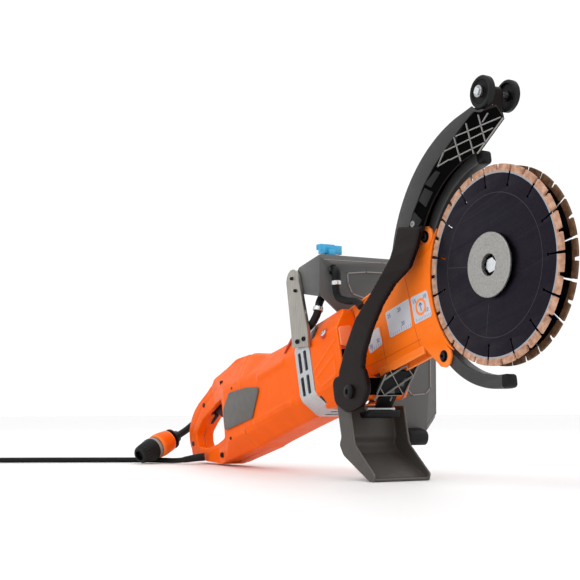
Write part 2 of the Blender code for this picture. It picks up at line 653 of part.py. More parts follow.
# ---------------------------------------------------------------- motor, switch, covers
def motor():
    """The motor inside the housing, on the axis that carries the bevel pinion."""
    spot = (0, 0, MOTOR_UP)
    turned("stator", ring(38, 23.5, -528, -442), STEEL, MACHINE, spot, "X", 28)
    turned("rotor", [(0, -363), (6, -363), (6, -440), (22, -440), (22, -530), (14, -540), (14, -556),
                     (6, -556), (6, -572), (0, -572)], COPPER, MACHINE, spot, "X")
    turned("cooling_fan", ring(37, 6.3, -430, -418), BLACK, MACHINE, spot, "X", 28)
    turned("motor_bearing", ring(16, 6.3, -412, -400), STEEL, MACHINE, spot, "X")
    turned("bevel_pinion", [(7, -363.2), (12.4, -370), (12.4, -378), (6.3, -378), (6.3, -363.2)], STEEL,
           MACHINE, spot, "X")
    for name, sign in (("brush_right", -1), ("brush_left", 1)):
        side_plate(name, [[(-553, -24), (-543, -24), (-543, -16), (-553, -16)]],
                   *sorted((sign * 14.5, sign * 32)), CARBON, MACHINE)


def covers():
    shape = rounded([(-608, 14, 5), (-553, 7, 8), (-510, -4, 5), (-543, -43, 4), (-636, -40, 5),
                     (-633, -6, 12)])
    side_plate("cover_right", [shape], -48.8, -46.4, DARK_GREY, MACHINE)
    side_plate("cover_left", [shape], 46.4, 48.8, DARK_GREY, MACHINE)


def switchgear():
    pivot = (-684, 26)
    trigger = rounded([(-744, 31, 2), (-680, 35, 3), (-677, 6, 4), (-712, -1, 6), (-738, 15, 6)])
    side_plate("trigger", [trigger], -8.2, 8.2, BLACK, MACHINE, pivot)
    latch = [(-756, 22), (-749, 22), (-749.5, 12), (-773, 4), (-774, 6.5), (-756, 14)]
    side_plate("trigger_lockout", [latch], -2.5, 2.5, BLACK, MACHINE, (-752.5, 20))
    side_plate("switch_block", [[(-740, 40), (-694, 40), (-694, 51), (-740, 44)]], -11, 11, CARBON, MACHINE)


# ---------------------------------------------------------------- cable and water hose
def mains_cable():
    """The cable's boot, its run along the floor, and the coil and plug it is stored as."""
    exit_point = (-728, -22.8, 12)
    boot_end = (-757, -49, 6.8)
    route = [(-757.6, -49.4, 6.7), (-766, -54.4, 5.6), (-782, -59, 4.8), (-800, -65, 4.7), (-820, -79, 4.7),
             (-841, -108, 4.7), (-868, -160, 4.7), (-902, -225, 4.7), (-932, -287, 4.7),
             (-953, -338, 4.7), (-968.7, -382.4, 4.7)]
    boot = tube("cable_boot", [exit_point, (-738, -36, 10.5), boot_end], 6.5, BLACK, LEVEL, 2)
    for point, share in zip(boot.data.splines[0].points, (1.0, 0.95, 0.78)):
        point.radius = share
    tube("mains_cable", route, CABLE_D / 2, BLACK, LEVEL, 2, 4)
    inner, outer = COIL_R
    turned("mains_cable_coil", [(outer, COIL_H), (outer, 0.2), (inner, 0.2), (inner, COIL_H)], BLACK,
           LEVEL, (*COIL, 0), "Z", 32)


def mains_plug():
    """Round two-pin plug lying on top of the coil."""
    spot = (COIL[0] - 20, COIL[1], COIL_H + 19.5)
    body = turned("mains_plug", [(0, 22), (17, 22), (19, 19), (19, 2), (15, -8), (7, -14), (5.6, -34),
                                 (0, -34)], BLACK, LEVEL, spot, "Y", 20)
    for offset in (-9.5, 9.5):
        join(body, turned("cut_plug_pin", disc(2.4, 18, 41), None, LEVEL,
                          (spot[0] + offset, spot[1], spot[2]), "Y", 12))


def water_hose():
    """Feed hose behind the rear handle, with a gland at the handle and a tap coupling at its end."""
    gland = tube("hose_gland", [(-738, 18.9, 106), (-738.2, 23, 106), (-741.5, 30, 106.5), (-747, 35.5, 107)],
                 9.5, BLACK, LEVEL, 2)
    for point, share in zip(gland.data.splines[0].points, (1.0, 1.0, 0.84, 0.72)):
        point.radius = share
    route = [(-747.4, 35.9, 107), (-758, 45.5, 108), (-776, 51, 108), (-796, 50, 104), (-815, 42, 95),
             (-828, 26, 82), (-832.5, 6, 67), (-828, -13, 54.5), (-820.6, -32.6, 45.1)]
    tube("water_hose", route, HOSE_D / 2, BLACK, LEVEL, 2, 3)
    heading = Vector(COUPLING_HEADING).normalized()
    rotation = heading.to_track_quat("Z", "Y").to_euler()
    coupling = turned("water_coupling", [(0, 92), (12, 92), (14, 90), (19, 66), (19, 60), (17.5, 59),
                                         (17.5, 52), (13, 51), (13, 16.5), (17.5, 16), (17.5, 12),
                                         (10, 12), (10, 0), (0, 0)], BLACK, LEVEL, COUPLING_AT, "Z")
    sleeve = turned("coupling_sleeve", [(20, 50.5), (20.5, 40), (18.5, 24), (18, 21), (13.5, 21),
                                        (13.5, 50.5)], ORANGE, LEVEL, COUPLING_AT, "Z")
    coupling.rotation_euler = rotation
    sleeve.rotation_euler = rotation


def main():
    motor_housing()
    vent_band()
    handle_shells()
    gear_housing()
    arm_frame()
    belt_guards()
    belt_drive()
    blades()
    blade_hood()
    swing_guard()
    guard_wheels()
    guard_pivot()
    scoop()
    deflector()
    front_shield()
    front_handle()
    handle_bracket()
    tap()
    motor()
    covers()
    switchgear()
    mains_cable()
    mains_plug()
    water_hose()


clear_scene()
PARTS = new_collection("twin_blade_saw")
CUTTERS = new_collection("cutters", hidden=True)
LEVEL = make_frame("level_frame", None, (BLADE_POS[0], BLADE_POS[1], 0))
MACHINE = make_frame("machine_frame", LEVEL, (0, 0, BLADE_POS[2]), -NOSE_UP)
BLADE_AXIS = make_frame("blade_axis", MACHINE)
main()
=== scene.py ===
"""Looks of the twin-blade concrete saw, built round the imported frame.

Everything is in metres in the row frame. Most pieces are placed in the machine's own frame:
"along" runs from the rear handle to the blades, "side" is the row's Y and "up" is square to both.
Its origin is the middle of the blade axis, and its sizes below are in millimetres.
"""

import json
import math

import bmesh
import bpy
import numpy as np
from mathutils import Matrix, Vector


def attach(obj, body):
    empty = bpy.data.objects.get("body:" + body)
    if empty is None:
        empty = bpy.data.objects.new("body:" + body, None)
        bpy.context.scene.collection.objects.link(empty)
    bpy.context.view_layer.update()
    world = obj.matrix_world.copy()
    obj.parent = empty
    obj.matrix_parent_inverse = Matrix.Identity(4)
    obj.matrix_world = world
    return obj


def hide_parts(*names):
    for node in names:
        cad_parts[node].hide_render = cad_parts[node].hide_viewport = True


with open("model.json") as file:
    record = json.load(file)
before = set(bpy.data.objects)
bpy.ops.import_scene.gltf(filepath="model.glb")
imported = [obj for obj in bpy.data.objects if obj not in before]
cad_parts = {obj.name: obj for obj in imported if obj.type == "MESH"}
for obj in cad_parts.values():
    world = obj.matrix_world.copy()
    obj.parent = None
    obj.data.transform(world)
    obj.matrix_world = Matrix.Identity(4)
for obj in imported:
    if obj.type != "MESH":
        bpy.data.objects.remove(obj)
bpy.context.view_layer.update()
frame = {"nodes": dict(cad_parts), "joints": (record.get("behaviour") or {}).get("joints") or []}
JOINTS = {joint["name"]: joint for joint in frame["joints"]}

MM = 0.001
BLADE = Vector(JOINTS["blade_spin"]["pos_m"])
ALONG = Vector(JOINTS["motor_spin"]["axis"]).normalized()
SIDE = Vector((0, 1, 0))
UP = ALONG.cross(SIDE)

# Camera, worked out from the blades' outline and the floor contacts
CAMERA_AT = (1023.0, -863.0, 93.0)
CAMERA_HEADING = 60.2
CAMERA_PITCH = 2.93
CAMERA_SHIFT = 0.102
CAMERA_LENS = 71.8


# ---------------------------------------------------------------- places
def at(along, side, up):
    """A point given in the machine's frame."""
    return BLADE + (ALONG * along + SIDE * side + UP * up) * MM


def level(x, y, z):
    """A point given from the floor below the blade axis."""
    return Vector((BLADE.x + x * MM, BLADE.y + y * MM, z * MM))


def basis(x, y, z, origin):
    """The matrix that puts its own axes along x, y and z."""
    turn = Matrix((x, y, z)).transposed().to_4x4()
    return Matrix.Translation(origin) @ turn


MACHINE = basis(ALONG, SIDE, UP, BLADE)
SIDE_VIEW = basis(ALONG, UP, -SIDE, BLADE)  # an outline in the along-up plane, seen from the near side
# An outline in the side-height plane, seen from the blades
LEVEL_END = basis(SIDE, Vector((0, 0, 1)), Vector((1, 0, 0)), level(0, 0, 0))


def to_machine(points):
    """Row-frame points, one a row, as along, side and up in millimetres."""
    inverse = np.array(MACHINE.inverted())
    return (points @ inverse[:3, :3].T + inverse[:3, 3]) / MM


# ---------------------------------------------------------------- outlines
def polar(radius, degrees, centre=(0, 0)):
    angle = math.radians(degrees)
    return centre[0] + radius * math.cos(angle), centre[1] + radius * math.sin(angle)


def arc(radius, start, end, steps, centre=(0, 0)):
    return [polar(radius, start + (end - start) * i / steps, centre) for i in range(steps + 1)]


def circle(radius, steps=32, centre=(0, 0)):
    return arc(radius, 0, 360, steps, centre)[:-1]


def rounded(corners, steps=5):
    """A closed outline with each (x, y, radius) corner turned into an arc."""
    points = []
    count = len(corners)
    for i, (x, y, radius) in enumerate(corners):
        here = Vector((x, y))
        before = Vector(corners[i - 1][:2]) - here
        after = Vector(corners[(i + 1) % count][:2]) - here
        if radius <= 0:
            points.append((x, y))
            continue
        half = before.angle(after) / 2
        reach = min(radius / math.tan(half), before.length * 0.49, after.length * 0.49)
        radius = reach * math.tan(half)
        first = here + before.normalized() * reach
        last = here + after.normalized() * reach
        middle = here + (before.normalized() + after.normalized()).normalized() * (radius / math.sin(half))
        for k in range(steps + 1):
            spoke = (first - middle).lerp(last - middle, k / steps)
            points.append(tuple(middle + spoke.normalized() * radius))
    return points


def smooth_path(points, per_span):
    """Points along a Catmull-Rom curve through the given ones."""
    knots = [Vector(p) for p in points]
    knots = [2 * knots[0] - knots[1]] + knots + [2 * knots[-1] - knots[-2]]
    path = []
    for a, b, c, d in zip(knots, knots[1:], knots[2:], knots[3:]):
        for k in range(per_span):
            t = k / per_span
            path.append(0.5 * (2 * b + (c - a) * t + (2 * a - 5 * b + 4 * c - d) * t * t
                               + (3 * b - a - 3 * c + d) * t ** 3))
    path.append(knots[-2])
    return path


# ---------------------------------------------------------------- materials
def new_material(name, colour, roughness, metallic=0.0):
    made = bpy.data.materials.new(name)
    made.use_nodes = True
    shader = made.node_tree.nodes["Principled BSDF"]
    shader.inputs["Base Color"].default_value = (*colour, 1.0)
    shader.inputs["Roughness"].default_value = roughness
    shader.inputs["Metallic"].default_value = metallic
    return made, made.node_tree.nodes, made.node_tree.links, shader


def noise(nodes, links, scale, detail=4.0, stretch=(1, 1, 1)):
    """Noise in the object's own space, stretched along the axes."""
    place = nodes.new("ShaderNodeTexCoord")
    mapping = nodes.new("ShaderNodeMapping")
    mapping.inputs["Scale"].default_value = stretch
    texture = nodes.new("ShaderNodeTexNoise")
    texture.inputs["Scale"].default_value = scale
    texture.inputs["Detail"].default_value = detail
    links.new(place.outputs["Object"], mapping.inputs["Vector"])
    links.new(mapping.outputs["Vector"], texture.inputs["Vector"])
    return texture.outputs["Fac"]


def spread(nodes, links, value, low, high):
    """Maps noise round 0.5 to low..high."""
    ramp = nodes.new("ShaderNodeMapRange")
    ramp.inputs["From Min"].default_value = 0.3
    ramp.inputs["From Max"].default_value = 0.7
    ramp.inputs["To Min"].default_value = low
    ramp.inputs["To Max"].default_value = high
    links.new(value, ramp.inputs["Value"])
    return ramp.outputs["Result"]


def bump(nodes, links, shader, value, distance, strength=0.5):
    node = nodes.new("ShaderNodeBump")
    node.inputs["Distance"].default_value = distance
    node.inputs["Strength"].default_value = strength
    links.new(value, node.inputs["Height"])
    links.new(node.outputs["Normal"], shader.inputs["Normal"])


def mixed(nodes, links, factor, first, second):
    mix = nodes.new("ShaderNodeMix")
    mix.data_type = "RGBA"
    mix.inputs["A"].default_value = (*first, 1.0)
    mix.inputs["B"].default_value = (*second, 1.0)
    links.new(factor, mix.inputs["Factor"])
    return mix.outputs["Result"]


HIGHLIGHT_FROM = 0.52  # pointiness where the painted edge highlight starts, and where it is full
HIGHLIGHT_TO = 0.56


def painted_edge_highlight(nodes, links, base, edge):
    """The base colour, going over to the lighter edge colour along sharp outer edges: a painted highlight."""
    geometry = nodes.new("ShaderNodeNewGeometry")
    ramp = nodes.new("ShaderNodeMapRange")
    ramp.inputs["From Min"].default_value = HIGHLIGHT_FROM
    ramp.inputs["From Max"].default_value = HIGHLIGHT_TO
    ramp.inputs["To Max"].default_value = 0.6
    links.new(geometry.outputs["Pointiness"], ramp.inputs["Value"])
    mix = nodes.new("ShaderNodeMix")
    mix.data_type = "RGBA"
    mix.inputs["B"].default_value = (*edge, 1.0)
    links.new(ramp.outputs["Result"], mix.inputs["Factor"])
    links.new(base, mix.inputs["A"])
    return mix.outputs["Result"]


def plastic(name, colour, roughness, edge, grain=0.00004, coat=0.0, shine=0.35):
    """Moulded plastic: fine grain, slow colour drift, and a painted highlight along its edges."""
    made, nodes, links, shader = new_material(name, colour, roughness)
    darker = tuple(c * 0.9 for c in colour)
    drift = spread(nodes, links, noise(nodes, links, 25), 0.0, 1.0)
    links.new(painted_edge_highlight(nodes, links, mixed(nodes, links, drift, darker, colour), edge),
              shader.inputs["Base Color"])
    fine = noise(nodes, links, 2600, 2)
    links.new(spread(nodes, links, noise(nodes, links, 90, 6), roughness - 0.06, roughness + 0.08),
              shader.inputs["Roughness"])
    bump(nodes, links, shader, fine, grain)
    shader.inputs["Specular IOR Level"].default_value = shine
    shader.inputs["Coat Weight"].default_value = coat
    shader.inputs["Coat Roughness"].default_value = 0.15
    return made


def metal(name, colour, roughness, stretch=(1, 1, 1), scale=900, depth=0.00003, bare=1.0):
    """Bare metal, brushed along the axis where stretch is smallest."""
    made, nodes, links, shader = new_material(name, colour, roughness, bare)
    strokes = noise(nodes, links, scale, 5, stretch)
    dull = tuple(c * 0.72 for c in colour)
    links.new(mixed(nodes, links, spread(nodes, links, strokes, 0.0, 1.0), dull, colour),
              shader.inputs["Base Color"])
    links.new(spread(nodes, links, noise(nodes, links, 60, 5), roughness - 0.07, roughness + 0.1),
              shader.inputs["Roughness"])
    bump(nodes, links, shader, strokes, depth)
    return made


def grit(name, light, dark):
    """Sintered rim segment: coarse grain over patches of two tones."""
    made, nodes, links, shader = new_material(name, light, 0.7)
    patches = spread(nodes, links, noise(nodes, links, 140, 5), 0.0, 1.0)
    links.new(mixed(nodes, links, patches, dark, light), shader.inputs["Base Color"])
    bump(nodes, links, shader, noise(nodes, links, 1600, 4), 0.0002)
    shader.inputs["Specular IOR Level"].default_value = 0.2
    return made


def make_looks():
    # In each plastic, the colour after the roughness is the painted highlight along its sharp edges
    return {
        "orange": plastic("orange_plastic", (0.93, 0.125, 0.002), 0.38, (1.0, 0.3, 0.08), coat=0.02,
                          shine=0.07),
        "orange_plate": plastic("orange_plate", (0.95, 0.165, 0.002), 0.42, (1.0, 0.34, 0.1), coat=0.01,
                                shine=0.07),
        # Lighter copy of the orange for the housing's raised patch: painted highlight
        "painted_highlight_orange": plastic("painted_highlight_orange", (0.95, 0.2, 0.06), 0.4, (1.0, 0.4, 0.25), coat=0.1),
        # Dark red-orange for lines laid nearly flush on the arm plates: painted shade in their grooves
        "groove": plastic("groove_painted_shade", (0.5, 0.045, 0.004), 0.6, (0.6, 0.1, 0.03), shine=0.1),
        "red": plastic("red_plastic", (0.4, 0.015, 0.01), 0.4, (0.6, 0.08, 0.04)),
        "dark_grey": plastic("dark_grey_plastic", (0.038, 0.038, 0.038), 0.45, (0.11, 0.11, 0.105),
                             shine=0.25),
        "strap_grey": plastic("strap_grey_plastic", (0.008, 0.0035, 0.0035), 0.36,
                              (0.03, 0.022, 0.022), shine=0.1),
        "rib_grey": plastic("rib_grey_plastic", (0.2, 0.19, 0.18), 0.45, (0.3, 0.29, 0.28)),
        "warm_grey": plastic("warm_grey_plastic", (0.068, 0.062, 0.055), 0.42, (0.16, 0.15, 0.135),
                             shine=0.3),
        "shield_grey": plastic("shield_grey_plastic", (0.075, 0.077, 0.076), 0.45, (0.18, 0.18, 0.175)),
        "cover_grey": plastic("cover_grey_plastic", (0.085, 0.082, 0.074), 0.5, (0.16, 0.155, 0.15)),
        "black": plastic("black_plastic", (0.003, 0.003, 0.0034), 0.4, (0.02, 0.02, 0.02), shine=0.13),
        # Near-black with no sheen, laid in recesses, gaps and pockets as painted shade
        "deep": plastic("painted_shade_black", (0.001, 0.001, 0.001), 0.9, (0.002, 0.002, 0.002), shine=0.02),
        "rubber": plastic("black_rubber", (0.004, 0.004, 0.0044), 0.5, (0.02, 0.02, 0.02), 0.00008,
                          shine=0.15),
        "blue": plastic("blue_plastic", (0.0, 0.3, 0.62), 0.3, (0.1, 0.55, 0.85), coat=0.2),
        "blade": metal("blade_black", (0.02, 0.017, 0.026), 0.4, scale=500, depth=0.00002),
        "blade_ring": metal("blade_ring", (0.42, 0.44, 0.48), 0.4),
        "blade_mark": metal("blade_mark", (0.1, 0.09, 0.1), 0.5),
        "segment": grit("blade_segment", (0.62, 0.36, 0.25), (0.3, 0.15, 0.09)),
        # Darker copy of the segment grit for the far blade: painted shade
        "segment_shaded": grit("blade_segment_far_shaded", (0.2, 0.1, 0.05), (0.06, 0.03, 0.015)),
        "flange": metal("flange_grey", (0.42, 0.415, 0.4), 0.5, scale=400),
        "cast": metal("cast_aluminium", (0.6, 0.62, 0.64), 0.42, scale=700, depth=0.00012),
        "steel": metal("brushed_steel", (0.42, 0.4, 0.36), 0.36, (1, 1, 0.05)),
        "bright": metal("bright_steel", (0.78, 0.8, 0.82), 0.22),
        "zinc": metal("zinc_steel", (0.5, 0.51, 0.53), 0.36, scale=300),
        "copper": metal("copper_winding", (0.6, 0.24, 0.1), 0.4, (0.1, 1, 1)),
        "label": plastic("label_silver", (0.55, 0.58, 0.63), 0.35, (0.6, 0.6, 0.65)),
        "mark": plastic("label_mark_blue", (0.02, 0.06, 0.28), 0.45, (0.05, 0.12, 0.4)),
    }


LOOKS = make_looks()


# ---------------------------------------------------------------- making pieces
def finish_piece(obj, look, body, stands_for=()):
    """Gives a piece its material, its body and the CAD nodes it stands for."""
    obj.data.materials.clear()
    obj.data.materials.append(LOOKS[look])
    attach(obj, body)
    if stands_for:
        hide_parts(*stands_for)
    return obj


def link(name, data, matrix=None):
    obj = bpy.data.objects.new(name, data)
    bpy.context.scene.collection.objects.link(obj)
    if matrix is not None:
        obj.matrix_world = matrix
    return obj


def shade(mesh, angle=40):
    mesh.shade_smooth()
    mesh.set_sharp_from_angle(angle=math.radians(angle))


def baked(obj):
    """The object with its modifiers applied and its place moved into its mesh."""
    bpy.context.view_layer.update()
    graph = bpy.context.evaluated_depsgraph_get()
    mesh = bpy.data.meshes.new_from_object(obj.evaluated_get(graph))
    mesh.transform(obj.matrix_world)
    name = obj.name
    bpy.data.objects.remove(obj, do_unlink=True)
    mesh.materials.clear()
    return link(name, mesh)


def plate(name, loops, low, high, look, body, view=SIDE_VIEW, edge=0.0, stands_for=()):
    """An outline in a view's plane, from depth low to high, with rounded rims of radius edge."""
    curve = bpy.data.curves.new(name, "CURVE")
    curve.dimensions = "2D"
    curve.fill_mode = "BOTH"
    curve.extrude = ((high - low) / 2 - edge) * MM
    curve.bevel_depth = edge * MM
    curve.bevel_resolution = 2
    curve.offset = -edge * MM
    for loop in loops:
        spline = curve.splines.new("POLY")
        spline.points.add(len(loop) - 1)
        for point, (x, y) in zip(spline.points, loop):
            point.co = (x * MM, y * MM, 0, 1)
        spline.use_cyclic_u = True
    obj = link(name, curve, view @ Matrix.Translation((0, 0, (low + high) / 2 * MM)))
    obj = baked(obj)
    weld(obj.data)
    shade(obj.data)
    return finish_piece(obj, look, body, stands_for)


def weld(mesh, distance=1e-6):
    work = bmesh.new()
    work.from_mesh(mesh)
    bmesh.ops.remove_doubles(work, verts=work.verts, dist=distance)
    bmesh.ops.recalc_face_normals(work, faces=work.faces)
    work.to_mesh(mesh)
    work.free()


def lathe(name, profile, look, body, place, axis, steps=40, stands_for=()):
    """A turned piece: profile is (radius, height along axis) in millimetres from the place."""
    turn = Vector(axis).normalized().to_track_quat("Z", "Y").to_matrix().to_4x4()
    matrix = Matrix.Translation(place) @ turn
    mesh = bpy.data.meshes.new(name)
    work = bmesh.new()
    rings = []
    for radius, height in profile:
        if radius <= 0:
            rings.append([work.verts.new(matrix @ Vector((0, 0, height * MM)))])
            continue
        rings.append([work.verts.new(matrix @ Vector((*polar(radius * MM, 360 * i / steps), height * MM)))
                      for i in range(steps)])
    for a, b in zip(rings, rings[1:]):
        for i in range(steps):
            j = (i + 1) % steps
            corners = [a[i % len(a)], a[j % len(a)], b[j % len(b)], b[i % len(b)]]
            unique = list(dict.fromkeys(corners))
            if len(unique) > 2:
                work.faces.new(unique)
    bmesh.ops.recalc_face_normals(work, faces=work.faces)
    work.to_mesh(mesh)
    work.free()
    shade(mesh)
    return finish_piece(link(name, mesh), look, body, stands_for)


def ring_profile(outer, inner, low, high, edge=0.5):
    """A closed profile of a ring with bevelled rims."""
    points = [(outer - edge, high), (outer, high - edge), (outer, low + edge), (outer - edge, low),
              (inner, low), (inner, high)]
    return points + points[:1]


def pipe(name, points, radius, look, body, stands_for=(), radii=None):
    """A round bar through row-frame points."""
    curve = bpy.data.curves.new(name, "CURVE")
    curve.dimensions = "3D"
    curve.bevel_depth = radius * MM
    curve.bevel_resolution = 5
    curve.use_fill_caps = True
    spline = curve.splines.new("POLY")
    spline.points.add(len(points) - 1)
    for i, (point, place) in enumerate(zip(spline.points, points)):
        point.co = (*place, 1)
        if radii:
            point.radius = radii[i]
    obj = link(name, curve)
    return finish_piece(obj, look, body, stands_for)


def tidied(mesh):
    """Welds a CAD mesh and merges its flat faces."""
    work = bmesh.new()
    work.from_mesh(mesh)
    bmesh.ops.remove_doubles(work, verts=work.verts, dist=2e-6)
    bmesh.ops.dissolve_limit(work, angle_limit=math.radians(1.5), verts=work.verts, edges=work.edges)
    work.to_mesh(mesh)
    work.free()


def bevelled(node, look, body, width):
    """A CAD node with its sharp edges rounded."""
    mesh = frame["nodes"][node].data.copy()
    tidied(mesh)
    obj = link(node + "_skin", mesh)
    bevel = obj.modifiers.new("Edges", "BEVEL")
    bevel.width = width * MM
    bevel.segments = 2
    bevel.limit_method = "ANGLE"
    bevel.angle_limit = math.radians(35)
    obj = baked(obj)
    shade(obj.data)
    return finish_piece(obj, look, body, [node])


def bars(name, paths, width, low, high, look, body, view=SIDE_VIEW):
    """Straight ribs along each path's legs, in a view's plane, from depth low to high."""
    work = bmesh.new()
    for path in paths:
        for a, b in zip(path, path[1:]):
            a, b = Vector(a), Vector(b)
            reach = (b - a).normalized() * width / 2
            across = Vector((-reach.y, reach.x))
            ends = (a - reach - across, b + reach - across, b + reach + across, a - reach + across)
            floor, roof = ([work.verts.new(view @ Vector((x * MM, y * MM, depth * MM))) for x, y in ends]
                           for depth in (low, high))
            work.faces.new(floor[::-1])
            work.faces.new(roof)
            for i in range(4):
                work.faces.new((floor[i], floor[(i + 1) % 4], roof[(i + 1) % 4], roof[i]))
    mesh = bpy.data.meshes.new(name)
    bmesh.ops.recalc_face_normals(work, faces=work.faces)
    work.to_mesh(mesh)
    work.free()
    return finish_piece(link(name, mesh), look, body)


def rounded_copy(node, look, body, voxel, smooth, sculpt=None):
    """A CAD node with its moulded edges rounded, and relief given by sculpt(points, normals)."""
    mesh = frame["nodes"][node].data.copy()
    obj = link(node + "_skin", mesh)
    weld(mesh)
    remesh = obj.modifiers.new("Remesh", "REMESH")
    remesh.mode = "VOXEL"
    remesh.voxel_size = voxel * MM
    soften = obj.modifiers.new("Soften", "SMOOTH")
    soften.iterations = smooth
    soften.factor = 0.5
    obj = baked(obj)
    if sculpt:
        carve(obj.data, sculpt)
    obj.data.shade_smooth()
    return finish_piece(obj, look, body, [node])


def carve(mesh, sculpt):
    """Moves each vertex along its normal by sculpt(points, normals) millimetres."""
    count = len(mesh.vertices)
    points = np.zeros(count * 3, np.float32)
    mesh.vertices.foreach_get("co", points)
    points = points.reshape(-1, 3).astype(float)
    normals = np.zeros(count * 3, np.float32)
    mesh.vertex_normals.foreach_get("vector", normals)
    normals = normals.reshape(-1, 3).astype(float)
    turn = np.array(MACHINE)[:3, :3]
    depth = sculpt(to_machine(points), normals @ turn)
    points += normals * depth[:, None] * MM
    mesh.vertices.foreach_set("co", points.astype(np.float32).ravel())
    mesh.update()


# ---------------------------------------------------------------- stage
def stage():
    floor = bpy.data.meshes.new("floor")
    work = bmesh.new()
    bmesh.ops.create_grid(work, x_segments=1, y_segments=1, size=12)
    work.to_mesh(floor)
    work.free()
    made, nodes, links, shader = new_material("floor_white", (0.9, 0.9, 0.9), 0.55)
    links.new(spread(nodes, links, noise(nodes, links, 8), 0.5, 0.6), shader.inputs["Roughness"])
    floor.materials.append(made)
    link("floor", floor, Matrix.Translation((0, 0, -0.0004)))
    world = bpy.data.worlds.new("studio")
    world.use_nodes = True
    world.node_tree.nodes["Background"].inputs["Color"].default_value = (1.0, 1.0, 1.0, 1)
    world.node_tree.nodes["Background"].inputs["Strength"].default_value = 1.05
    bpy.context.scene.world = world
    bpy.context.scene.view_settings.view_transform = "Standard"
    for name, place, size, power in (("key", (0.6, -1.9, 2.3), 1.2, 12), ("rim", (-1.6, 1.2, 1.9), 1.4, 8),
                                     ("top", (0.1, -0.1, 2.6), 1.6, 6)):
        light = bpy.data.lights.new(name, "AREA")
        light.size = size
        light.energy = power
        obj = link(name, light)
        obj.location = place
        obj.rotation_euler = (Vector((0, 0, 0.2)) - Vector(place)).to_track_quat("-Z", "Y").to_euler()


def camera():
    data = bpy.data.cameras.new("camera")
    data.lens = CAMERA_LENS
    data.sensor_width = 36
    data.shift_y = CAMERA_SHIFT
    data.clip_start = 0.05
    data.clip_end = 60
    obj = link("camera", data)
    obj.location = level(*CAMERA_AT)
    obj.rotation_euler = (math.radians(90 + CAMERA_PITCH), 0, math.radians(CAMERA_HEADING))
    bpy.context.scene.camera = obj


# ---------------------------------------------------------------- cord and hose
CABLE_LENGTH = 5.0
CABLE_D = 9.0
COIL = (-1045.0, -394.0)
COIL_LANES = (67.4, 58.4, 49.4, 40.6)
CABLE_ROUTE = [(-757.6, -49.4, 6.7), (-766, -54.4, 5.6), (-782, -59, 4.8), (-800, -65, 4.7),
               (-820, -79, 4.7), (-841, -108, 4.7), (-868, -160, 4.7), (-902, -225, 4.7),
               (-932, -287, 4.7), (-953, -338, 4.7), (-968.7, -382.4, 4.7)]
HOSE_ROUTE = [(-747.4, 35.9, 107), (-758, 45.5, 108), (-776, 51, 108), (-796, 50, 104), (-815, 42, 95),
              (-828, 26, 82), (-832.5, 6, 67), (-828, -13, 54.5), (-820.6, -32.6, 45.1)]
HOSE_D = 12.0


def coil_turns(length):
    """The cable's coiled stretch: four lanes side by side in each layer, layer on layer."""
    heading = math.degrees(math.atan2(-382.4 - COIL[1], -968.7 - COIL[0]))
    start = heading - math.degrees(math.acos(COIL_LANES[0] / math.hypot(-968.7 - COIL[0], -382.4 - COIL[1])))
    points = []
    angle, travelled, turn = 0.0, 0.0, 0
    step = 12.0
    while travelled < length:
        turn = int(angle // 360)
        share = min(1.0, (angle % 360) / 60) if turn else 1.0
        lane, layer = lane_of(turn)
        lane_before, layer_before = lane_of(max(turn - 1, 0))
        radius = lane_before + (lane - lane_before) * share
        height = CABLE_D / 2 + 0.2 + 8.8 * (layer_before + (layer - layer_before) * share)
        x, y = polar(radius, start - angle, COIL)
        points.append((x, y, height))
        if len(points) > 1:
            travelled += (Vector(points[-1]) - Vector(points[-2])).length
        angle += step
    return points


def lane_of(turn):
    """Lane radius and layer of a turn; every second layer runs back outwards."""
    layer, lane = divmod(turn, len(COIL_LANES))
    order = COIL_LANES if layer % 2 == 0 else COIL_LANES[::-1]
    return order[lane], layer


def path_length(points):
    return sum((Vector(b) - Vector(a)).length for a, b in zip(points, points[1:]))


def cords():
    run = smooth_path(CABLE_ROUTE, 4)
    turns = coil_turns(CABLE_LENGTH * 1000 - path_length(run))
    cable = pipe("mains_cable_skin", [level(*p) for p in run + turns], CABLE_D / 2, "rubber", "machine",
                 ["mains_cable", "mains_cable_coil"])
    boot()
    route = smooth_path(HOSE_ROUTE, 6)
    hose = pipe("water_hose_skin", [level(*p) for p in route], HOSE_D / 2, "rubber", "machine",
                ["water_hose"])
    coupling()


# ---------------------------------------------------------------- blades
BLADE_R = 115.0
CORE_R = 107.3
BLADE_SIDE = 10.0  # middle of each blade, either side of the centre plane
CORE_HALF = 1.2
SEGMENT_HALF = 1.5
SECTORS = 15
SECTOR = 360 / SECTORS
SLOT_PHASE = 10.6


def core_outline(phase):
    """The steel core, with a narrow keyhole slot between sectors."""
    points = []
    for i in range(SECTORS):
        slot = phase + i * SECTOR
        eye = polar(91.5, slot)
        points += [polar(CORE_R, slot - 0.6), polar(93.5, slot - 0.5)]
        points += arc(1.9, slot - 30, slot - 330, 8, eye)
        points += [polar(93.5, slot + 0.5)]
        points += arc(CORE_R, slot + 0.6, slot + SECTOR - 0.6, 6)[:-1]
    return points


def segment_outlines(phase):
    """One rim segment a sector, with a notch between its two teeth."""
    loops = []
    for i in range(SECTORS):
        start = phase + i * SECTOR + 0.9
        end = start + SECTOR - 1.8
        middle = (start + end) / 2
        loops.append([polar(CORE_R - 0.4, start)] + arc(BLADE_R, start, middle - 1.2, 4)
                     + [polar(CORE_R + 1.2, middle - 0.9), polar(CORE_R + 1.2, middle + 0.9)]
                     + arc(BLADE_R, middle + 1.2, end, 4) + arc(CORE_R - 0.4, end, start, 6)[:-1])
    return loops


def rim_arcs(inner, outer, phase):
    loops = []
    for i in range(SECTORS):
        start, end = phase + i * SECTOR + 0.75, phase + (i + 1) * SECTOR - 0.75
        loops.append(arc(outer, start, end, 6) + arc(inner, end, start, 6))
    return loops


